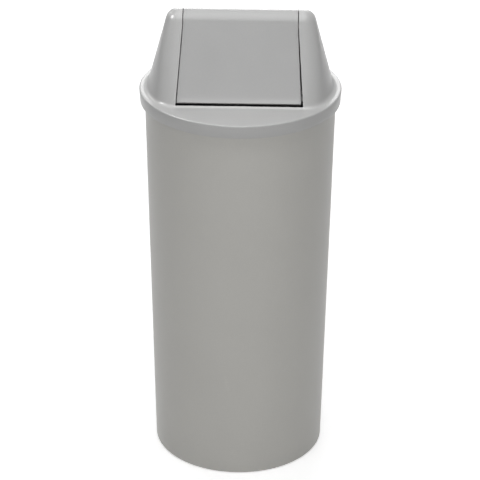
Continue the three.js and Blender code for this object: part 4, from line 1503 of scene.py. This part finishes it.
@dataclass
class Hinge:
    """Rod through door and hood, with bushes, push-on nuts and torsion springs."""

    slope: Slope
    opening: Opening
    rod_radius: float = 2.5 * MM
    chamfer: float = 0.6 * MM
    clearance: float = 0.3 * MM
    bush_wall: float = 1.6 * MM
    collar: float = 3 * MM
    collar_wall: float = 1.2 * MM
    tail: float = 1 * MM
    nut_radius: float = 6 * MM
    nut_length: float = 6 * MM
    nut_wall: float = 1.6 * MM
    wire_radius: float = 0.9 * MM
    coil_radius: float = 6.5 * MM
    coil_turns: int = 5
    coil_pitch: float = 2.1 * MM
    coil_steps: int = 28
    coil_bend: float = 1.6
    leg_tilt: float = math.radians(27)
    anchor_drop: float = 9 * MM
    anchor_length: float = 6 * MM
    door_wall: float = 3 * MM

    @property
    def tab_out(self) -> float:
        """Outer face of a hinge tab."""
        return self.opening.half_top + self.opening.flange_wall

    @property
    def nut_start(self) -> float:
        """Inner face of a push-on nut."""
        return self.tab_out + self.tail + self.clearance

    @property
    def coil_start(self) -> float:
        """First turn of a spring, beside the bush's collar."""
        return self.opening.half_top - self.clearance * 2 - self.collar_wall - self.wire_radius

    def _along_x(self, side: int) -> Matrix:
        """Lays a piece turned about Z along X at the hinge, for one side.

        Args:
            side: -1 for the left, 1 for the right.

        Returns:
            The move.
        """
        turn = Matrix.Rotation(math.pi / 2, 4, "Y")
        mirror = Matrix.Scale(-1, 4, (1, 0, 0)) if side < 0 else Matrix.Identity(4)
        return mirror @ Matrix.Translation((0, 0, self.slope.axis)) @ turn

    def _rod(self) -> Piece:
        """Rod with chamfered ends.

        Returns:
            The rod in its place.
        """
        half = self.nut_start + self.nut_length - self.nut_wall - self.clearance
        radius, inner, shaft = self.rod_radius, self.rod_radius - self.chamfer, half - self.chamfer
        levels = (-shaft, -half / 2, 0.0, half / 2, shaft)
        profile = [(0, -half), (inner, -half), *((radius, z) for z in levels), (inner, half), (0, half)]
        return placed(turned(profile, 32), self._along_x(1))

    def _bush(self) -> Piece:
        """Collared bush, standing on Z.

        Returns:
            The bush.
        """
        bore = self.rod_radius + self.clearance
        outer = bore + self.bush_wall
        rim = outer + self.collar
        face = self.opening.half_top - self.clearance - self.collar_wall
        back = face + self.collar_wall
        end = self.tab_out + self.tail
        lead = 0.3 * MM
        return turned([
            (bore, face + lead), (bore + lead, face), (rim - lead, face), (rim, face + lead), (rim, back - lead),
            (rim - lead, back), (outer, back), (outer, end - lead), (outer - lead, end), (bore + lead, end),
            (bore, end - lead),
        ], 40)

    def _nut(self) -> Piece:
        """Domed push-on nut, standing on Z.

        Returns:
            The nut.
        """
        bore = self.rod_radius + self.clearance
        outer = bore + self.nut_wall
        start, end = self.nut_start, self.nut_start + self.nut_length
        flange, inside = start + self.nut_wall, end - self.nut_wall
        soft = 0.4 * MM
        dome = ((0, 1.2 * MM), (0.4 * MM, 0.5 * MM), (1.2 * MM, 0.1 * MM))
        return turned([
            (0, inside), (bore - soft, inside), (bore, inside - soft), (bore, start + soft), (bore + soft, start),
            (self.nut_radius - soft, start), (self.nut_radius, start + soft), (self.nut_radius, flange - soft),
            (self.nut_radius - soft, flange), (outer + soft, flange), (outer, flange + soft),
            *((outer - inward, end - down) for inward, down in dome), (bore * 0.5, end), (0, end),
        ], 40)

    def _spring_run(self) -> tuple[list[Place], float]:
        """Path of the right spring's wire.

        Returns:
            The points, and the x at which the coil ends.
        """
        down = Vector((0, -math.cos(self.slope.angle), -math.sin(self.slope.angle)))
        out = self.slope.normal()
        leg = down * math.cos(self.leg_tilt) + out * math.sin(self.leg_tilt)
        turns = self.coil_turns + math.atan2(-leg.y, leg.z) / (2 * math.pi)
        axis = Vector((0, 0, self.slope.axis))
        start, radius = self.coil_start, self.coil_radius
        anchor = ((start + self.anchor_length, -self.anchor_drop), (start, -self.anchor_drop),
                  (start, -self.wire_radius))
        corners = [axis + Vector((x, radius, z)) for x, z in anchor]
        points = rounded_run(corners, [self.wire_radius * self.coil_bend], 5)
        for turned_by in between(0.0, turns, round(turns * self.coil_steps)):
            angle = 2 * math.pi * turned_by
            coil = Vector((start - self.coil_pitch * turned_by, radius * math.cos(angle), radius * math.sin(angle)))
            points.append(tuple(axis + coil))
        last = Vector(points[-1])
        to_panel = self.slope.ridge - self.door_wall - self.clearance - self.wire_radius - (last - axis).dot(out)
        points.append(tuple(last + leg * (to_panel / math.sin(self.leg_tilt))))
        return points, last.x

    def build(self, wardrobe: Wardrobe) -> None:
        """Builds the hinge's pieces and dresses them with the finishes.

        Args:
            wardrobe: the finishes.
        """
        wardrobe.dress(self._rod(), "hinge_rod", "door", Finish.ZINC)
        run, coil_end = self._spring_run()
        for name, side in SIDES:
            bush = placed(self._bush(), self._along_x(side))
            wardrobe.dress(bush, f"{name}_hinge_bush", "hood", Finish.NYLON)
            nut = placed(self._nut(), self._along_x(side))
            wardrobe.dress(nut, f"{name}_push_nut", "door", Finish.ZINC)
            spring = wire([(side * x, y, z) for x, y, z in run], self.wire_radius)
            wardrobe.dress(spring, f"{name}_torsion_spring", "", Finish.SPRING, smooth=50.0)
            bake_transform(spring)


# ---------- The liner ----------


@dataclass
class Liner:
    """Rigid liner of galvanised sheet, with its recessed base, bag band, ears and wire handles."""

    foot: float = 9.8 * MM
    top: float = 699.867 * MM
    top_radius: float = 162 * MM
    base_radius: float = 150 * MM
    sheet_thick: float = 1 * MM
    bead: float = 2.8 * MM
    recess: float = 5 * MM
    press: float = 0.8 * MM
    band: float = 1.6 * MM
    fit: float = 0.3 * MM
    half_span: float = 45 * MM
    inset: float = 9 * MM
    handle_drop: float = 55 * MM
    handle_wire: float = 2 * MM
    handle_bend: float = 8 * MM
    elbow: float = 4 * MM
    tip: float = 3 * MM
    below_top: float = 30 * MM
    ear_size: Place = (1.5 * MM, 14 * MM, 30 * MM)
    ear_corner: float = 4 * MM
    ear_clearance: float = 0.75 * MM
    ear_wall: float = 1.8 * MM
    eye_length: float = 8 * MM
    eye_overlap: float = 0.4 * MM
    rivet_spacing: float = 19 * MM
    rivet_radius: float = 1.8 * MM
    rivet_head: float = 3.4 * MM
    rivet_height: float = 1.4 * MM
    rivet_stand: float = 0.2 * MM
    near: float = 1 * MM
    rings: int = 10
    segments: int = 144

    @property
    def pivot_height(self) -> float:
        """Height at which the handles turn."""
        return self.top - self.below_top

    @property
    def lean(self) -> float:
        """Lean of the wall from upright."""
        return math.atan((self.top_radius - self.base_radius) / (self.top - self.foot))

    @property
    def ear_angle(self) -> float:
        """Angle of an ear away from the side."""
        return math.asin(self.half_span / (self.radius(self.pivot_height) - self.sheet_thick))

    @property
    def eye_out(self) -> float:
        """Outer radius of an eye."""
        return self.handle_wire + self.fit + self.ear_wall

    @property
    def pivot_x(self) -> float:
        """Distance of the handles' pivots from the middle."""
        inset = self.ear_clearance + self.ear_size[0] + self.eye_out - self.eye_overlap
        return (self.radius(self.pivot_height) - self.sheet_thick - inset) * math.cos(self.ear_angle)

    def radius(self, z: float) -> float:
        """Outer radius of the sheet at a height."""
        return self.base_radius + (z - self.foot) * math.tan(self.lean)

    def on_wall(self, angle: float, z: float, depth: float) -> Matrix:
        """Places a piece made at the origin, +X outward, on the liner's inner face."""
        place = Matrix.Translation((self.radius(z) - self.sheet_thick - depth, 0, z))
        return Matrix.Rotation(angle, 4, "Z") @ place @ Matrix.Rotation(self.lean, 4, "Y")

    def _wall(self) -> Piece:
        """Tapered wall with its rolled bead.

        Returns:
            The closed wall.
        """
        thick = self.sheet_thick
        side = between(self.foot, self.top - 2 * self.bead, self.rings)
        return turned([
            (self.base_radius - thick, self.foot),
            *((self.radius(z), z) for z in side),
            *arc((self.top_radius + self.bead - thick, self.top - self.bead), self.bead, -90, 174, 14),
            *((self.radius(z) - thick, z) for z in reversed(side[1:])),
        ], self.segments)

    def _base(self) -> Piece:
        """Base with two pressed stiffening steps and a flange down to the bin's floor.

        Returns:
            The closed base.
        """
        thick = self.sheet_thick
        outer = self.base_radius - thick - 2 * self.fit
        top = self.foot + self.recess
        bend = (outer - 2 * thick, top - 2 * thick)
        steps = ((0, 0), (0.45, 0), (0.47, self.press), (0.53, self.press), (0.55, 0))
        under = [(outer * share, top - thick - down) for share, down in steps]
        return turned([
            *under, (bend[0] - 0.2 * thick, top - thick), *arc(bend, thick, 90, 0, 4)[1:],
            (outer - thick, self.foot), (outer, self.foot), (outer, bend[1]),
            *arc(bend, 2 * thick, 0, 90, 5)[1:],
            *((radius, z + thick) for radius, z in reversed(under)),
        ], self.segments)

    def _band(self) -> Piece:
        """Round rubber band below the bead.

        Returns:
            The band.
        """
        z = self.top - 2 * self.bead - self.band - self.near
        centre = (self.radius(z) + self.band + self.fit, z)
        return turned(arc(centre, self.band, 0, 360, 14)[:-1], self.segments)

    def _ear(self) -> Piece:
        """Ear plate with round corners, made flat at the origin with +X outward.

        Returns:
            The ear.
        """
        ear = block(self.ear_size, 0.25 * MM, 1)
        with editing(ear, selected=False):
            choose(ear, "EDGE", self._is_corner)
            bpy.ops.mesh.bevel(offset=self.ear_corner, segments=6, affect="EDGES")
        return ear

    def _is_corner(self, edge: Edge) -> bool:
        """True for an edge across an ear's thickness at one of its corners.

        Args:
            edge: an edge of the ear.

        Returns:
            Whether it is rounded.
        """
        _, wide, high = self.ear_size
        a, b = (vertex.co for vertex in edge.verts)
        at_side = min(abs(a.y), abs(b.y)) > wide / 2 - self.near
        at_end = min(abs(a.z), abs(b.z)) > high / 2 - self.near
        return at_side and at_end and abs(a.x - b.x) > self.near / 2

    def _eye(self, side: int, end: int) -> Piece:
        """Eye that carries the handle's wire, along Y at its place.

        Args:
            side: -1 for the left, 1 for the right.
            end: -1 for the front, 1 for the rear.

        Returns:
            The eye in its place.
        """
        bore, outer = self.handle_wire + self.fit, self.eye_out
        half = self.eye_length / 2
        lead = 0.3 * MM
        eye = turned([
            (bore, -half + lead), (bore + lead, -half), (outer - lead, -half), (outer, -half + lead),
            (outer, half - lead), (outer - lead, half), (bore + lead, half), (bore, half - lead),
        ], 36)
        place = Matrix.Translation((side * self.pivot_x, end * self.half_span, self.pivot_height))
        return placed(eye, place @ Matrix.Rotation(math.pi / 2, 4, "X"))

    def _rivet(self) -> Piece:
        """Rivet with two domed heads, along X at the origin.

        Returns:
            The rivet.
        """
        inner = -self.ear_clearance - self.ear_size[0] - self.fit
        outer = self.sheet_thick + self.fit + self.rivet_stand
        dome = ((0, 1), (0.35, 0.94), (0.7, 0.7), (0.93, 0.3), (1, 0))
        head, high = self.rivet_head, self.rivet_height
        rivet = turned([
            *((head * across, inner - high * up) for across, up in dome),
            (self.rivet_radius, inner), (self.rivet_radius, outer),
            *((head * across, outer + high * up) for across, up in reversed(dome)),
        ], 24)
        return placed(rivet, Matrix.Rotation(math.pi / 2, 4, "Y"))

    def _handle(self, side: int) -> Piece:
        """Wire handle hanging from its two eyes.

        Args:
            side: -1 for the left, 1 for the right.

        Returns:
            The handle in its place.
        """
        tip = self.half_span + self.eye_length / 2 + self.tip
        arm = self.half_span - self.inset
        run = [(-tip, 0), (-arm, 0), (-arm, -self.handle_drop), (arm, -self.handle_drop), (arm, 0), (tip, 0)]
        corners = [Vector((side * self.pivot_x, y, self.pivot_height + z)) for y, z in run]
        reaches = [self.elbow, self.handle_bend, self.handle_bend, self.elbow]
        return wire(rounded_run(corners, reaches), self.handle_wire, 16)

    def build(self, wardrobe: Wardrobe) -> None:
        """Builds the liner's pieces and dresses them with the finishes.

        Args:
            wardrobe: the finishes.
        """
        wardrobe.dress(self._wall(), "liner_wall", "liner", Finish.GALVANISED)
        wardrobe.dress(self._base(), "liner_base", "liner", Finish.GALVANISED)
        wardrobe.dress(self._band(), "bag_band", "liner", Finish.RUBBER)
        depth = self.ear_clearance + self.ear_size[0] / 2
        for side_name, side in SIDES:
            wardrobe.dress(self._handle(side), f"{side_name}_liner_handle", f"{side_name}_handle", Finish.ZINC)
            for end_name, end in (("front", -1), ("rear", 1)):
                corner = f"{side_name}_{end_name}"
                turn = end * self.ear_angle
                angle = turn if side > 0 else math.pi - turn
                flat = placed(self._ear(), self.on_wall(angle, self.pivot_height, depth))
                ear = joined([flat, self._eye(side, end)])
                wardrobe.dress(ear, f"{corner}_ear", "liner", Finish.GALVANISED)
                for level_name, level in (("lower", -1), ("upper", 1)):
                    z = self.pivot_height + level * self.rivet_spacing / 2
                    rivet = placed(self._rivet(), self.on_wall(angle, z, 0))
                    wardrobe.dress(rivet, f"{corner}_{level_name}_rivet", "liner", Finish.ZINC)


# ---------- The studio ----------


@dataclass(frozen=True)
class Lamp:
    """Soft square lamp that faces the bin's middle line. A gleam lamp shows only as a highlight."""

    name: str
    place: Place
    target_height: float
    size: float
    power: float
    gleam: bool = False

    def hang(self) -> None:
        """Hangs the lamp in the scene."""
        data = bpy.data.lights.new(self.name, "AREA")
        data.shape = "SQUARE"
        data.size = self.size
        data.energy = self.power
        lamp = added(self.name, data)
        lamp.visible_diffuse = not self.gleam
        aim = Vector((0, 0, self.target_height)) - Vector(self.place)
        lamp.matrix_world = Matrix.Translation(self.place) @ aim.to_track_quat("-Z", "Y").to_matrix().to_4x4()


@dataclass
class Studio:
    """Pale floor, soft light and the camera at the photograph's angle."""

    camera_place: Place = (0.0904, -4.3161, 2.598)
    pitch: float = math.radians(26.554)
    yaw: float = math.radians(1.188)
    roll: float = math.radians(0.35)
    lens: float = 181.6
    sky: float = 0.0
    floor_radius: float = 14.0
    floor_tones: Pair = (0.795, 0.805)
    glow_reach: Pair = (0.3, 2.5)
    glow: Pair = (0.52, 0.76)
    lamps: tuple[Lamp, ...] = (
        Lamp("overhead", (0, -0.3, 3.4), 0.6, 2.4, 60.0),
        Lamp("front", (0, -4.6, 2.4), 0.6, 2.0, 84.0),
        Lamp("rear_fill", (0, 4.6, 1.9), 0.5, 2.0, 45.0),
        Lamp("rear_left", (-2.0, 2.2, 2.2), 0.8, 0.9, 8.0),
        Lamp("rear_high", (0, 1.6, 3.4), 0.8, 1.4, 12.0),
        Lamp("gleam", (-2.1, 0.0, 3.0), 0.8, 0.8, 70.0, gleam=True),
    )

    def _camera(self) -> None:
        """Sets up the camera."""
        data = bpy.data.cameras.new("camera")
        data.lens = self.lens
        data.sensor_width = 36.0
        data.sensor_fit = "HORIZONTAL"
        data.clip_end = 50.0
        camera = added("camera", data)
        turns = ((self.yaw, "Z"), (math.pi / 2 - self.pitch, "X"), (self.roll, "Z"))
        yaw, pitch, roll = (Matrix.Rotation(angle, 4, axis) for angle, axis in turns)
        camera.matrix_world = Matrix.Translation(self.camera_place) @ yaw @ pitch @ roll
        bpy.context.scene.camera = camera

    def _world(self) -> None:
        """Surround that gives no light of its own and looks white to the camera and in gloss."""
        world = bpy.data.worlds.new("surround")
        bpy.context.scene.world = world
        world.use_nodes = True
        world.node_tree.nodes.clear()
        wires = Wiring(world.node_tree)
        level = wires.remap(wires.seen_by("Camera", "Glossy", "Transmission"), low=self.sky)
        light = wires.add("Background", {"Color": (1, 1, 1, 1), "Strength": level})
        wires.add("OutputWorld", {"Surface": light.outputs[0]})

    def _floor_layers(self, wires: Wiring, where: Socket) -> Values:
        """Pale even tone, with a glow that only the camera and gloss see.

        Args:
            wires: the tree that gets the nodes.
            where: the object's own coordinates.

        Returns:
            Values and sockets for the shader's inputs, by name.
        """
        low, high = self.floor_tones
        tone = wires.remap(wires.noise(where, 40.0, 3.0), low=low, high=high)
        distance = wires.vector("LENGTH", where).node.outputs["Value"]
        glow = wires.math("MULTIPLY", wires.seen_by("Camera", "Glossy"),
                          wires.remap(distance, *self.glow_reach, *self.glow))
        return {
            "Base Color": tone,
            "Roughness": 0.9,
            "Specular IOR Level": 0.1,
            "Emission Color": (1, 1, 1, 1),
            "Emission Strength": glow,
        }

    def _floor(self) -> None:
        """Wide pale floor that shows white and keeps the object's shadow."""
        clear_selection()
        bpy.ops.mesh.primitive_circle_add(vertices=96, radius=self.floor_radius, fill_type="NGON")
        floor = bpy.context.object
        floor.name = "floor"
        floor.data.materials.append(material_of("floor", self._floor_layers))

    def build(self) -> None:
        """Builds the camera, the floor and the lights."""
        self._camera()
        self._world()
        self._floor()
        for lamp in self.lamps:
            lamp.hang()
        bpy.context.scene.view_settings.view_transform = "Standard"


def main() -> None:
    """Builds every piece in order."""
    logging.basicConfig(level=logging.INFO, format="%(message)s")
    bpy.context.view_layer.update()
    slope = Slope()
    opening = Opening(slope)
    wardrobe = Wardrobe()
    BinBody().build(wardrobe)
    HoodShell(slope, opening).build(wardrobe)
    PushDoor(slope, opening).build(wardrobe)
    Hinge(slope, opening).build(wardrobe)
    Liner().build(wardrobe)
    Studio().build()


if __name__ == "__main__":
    main()
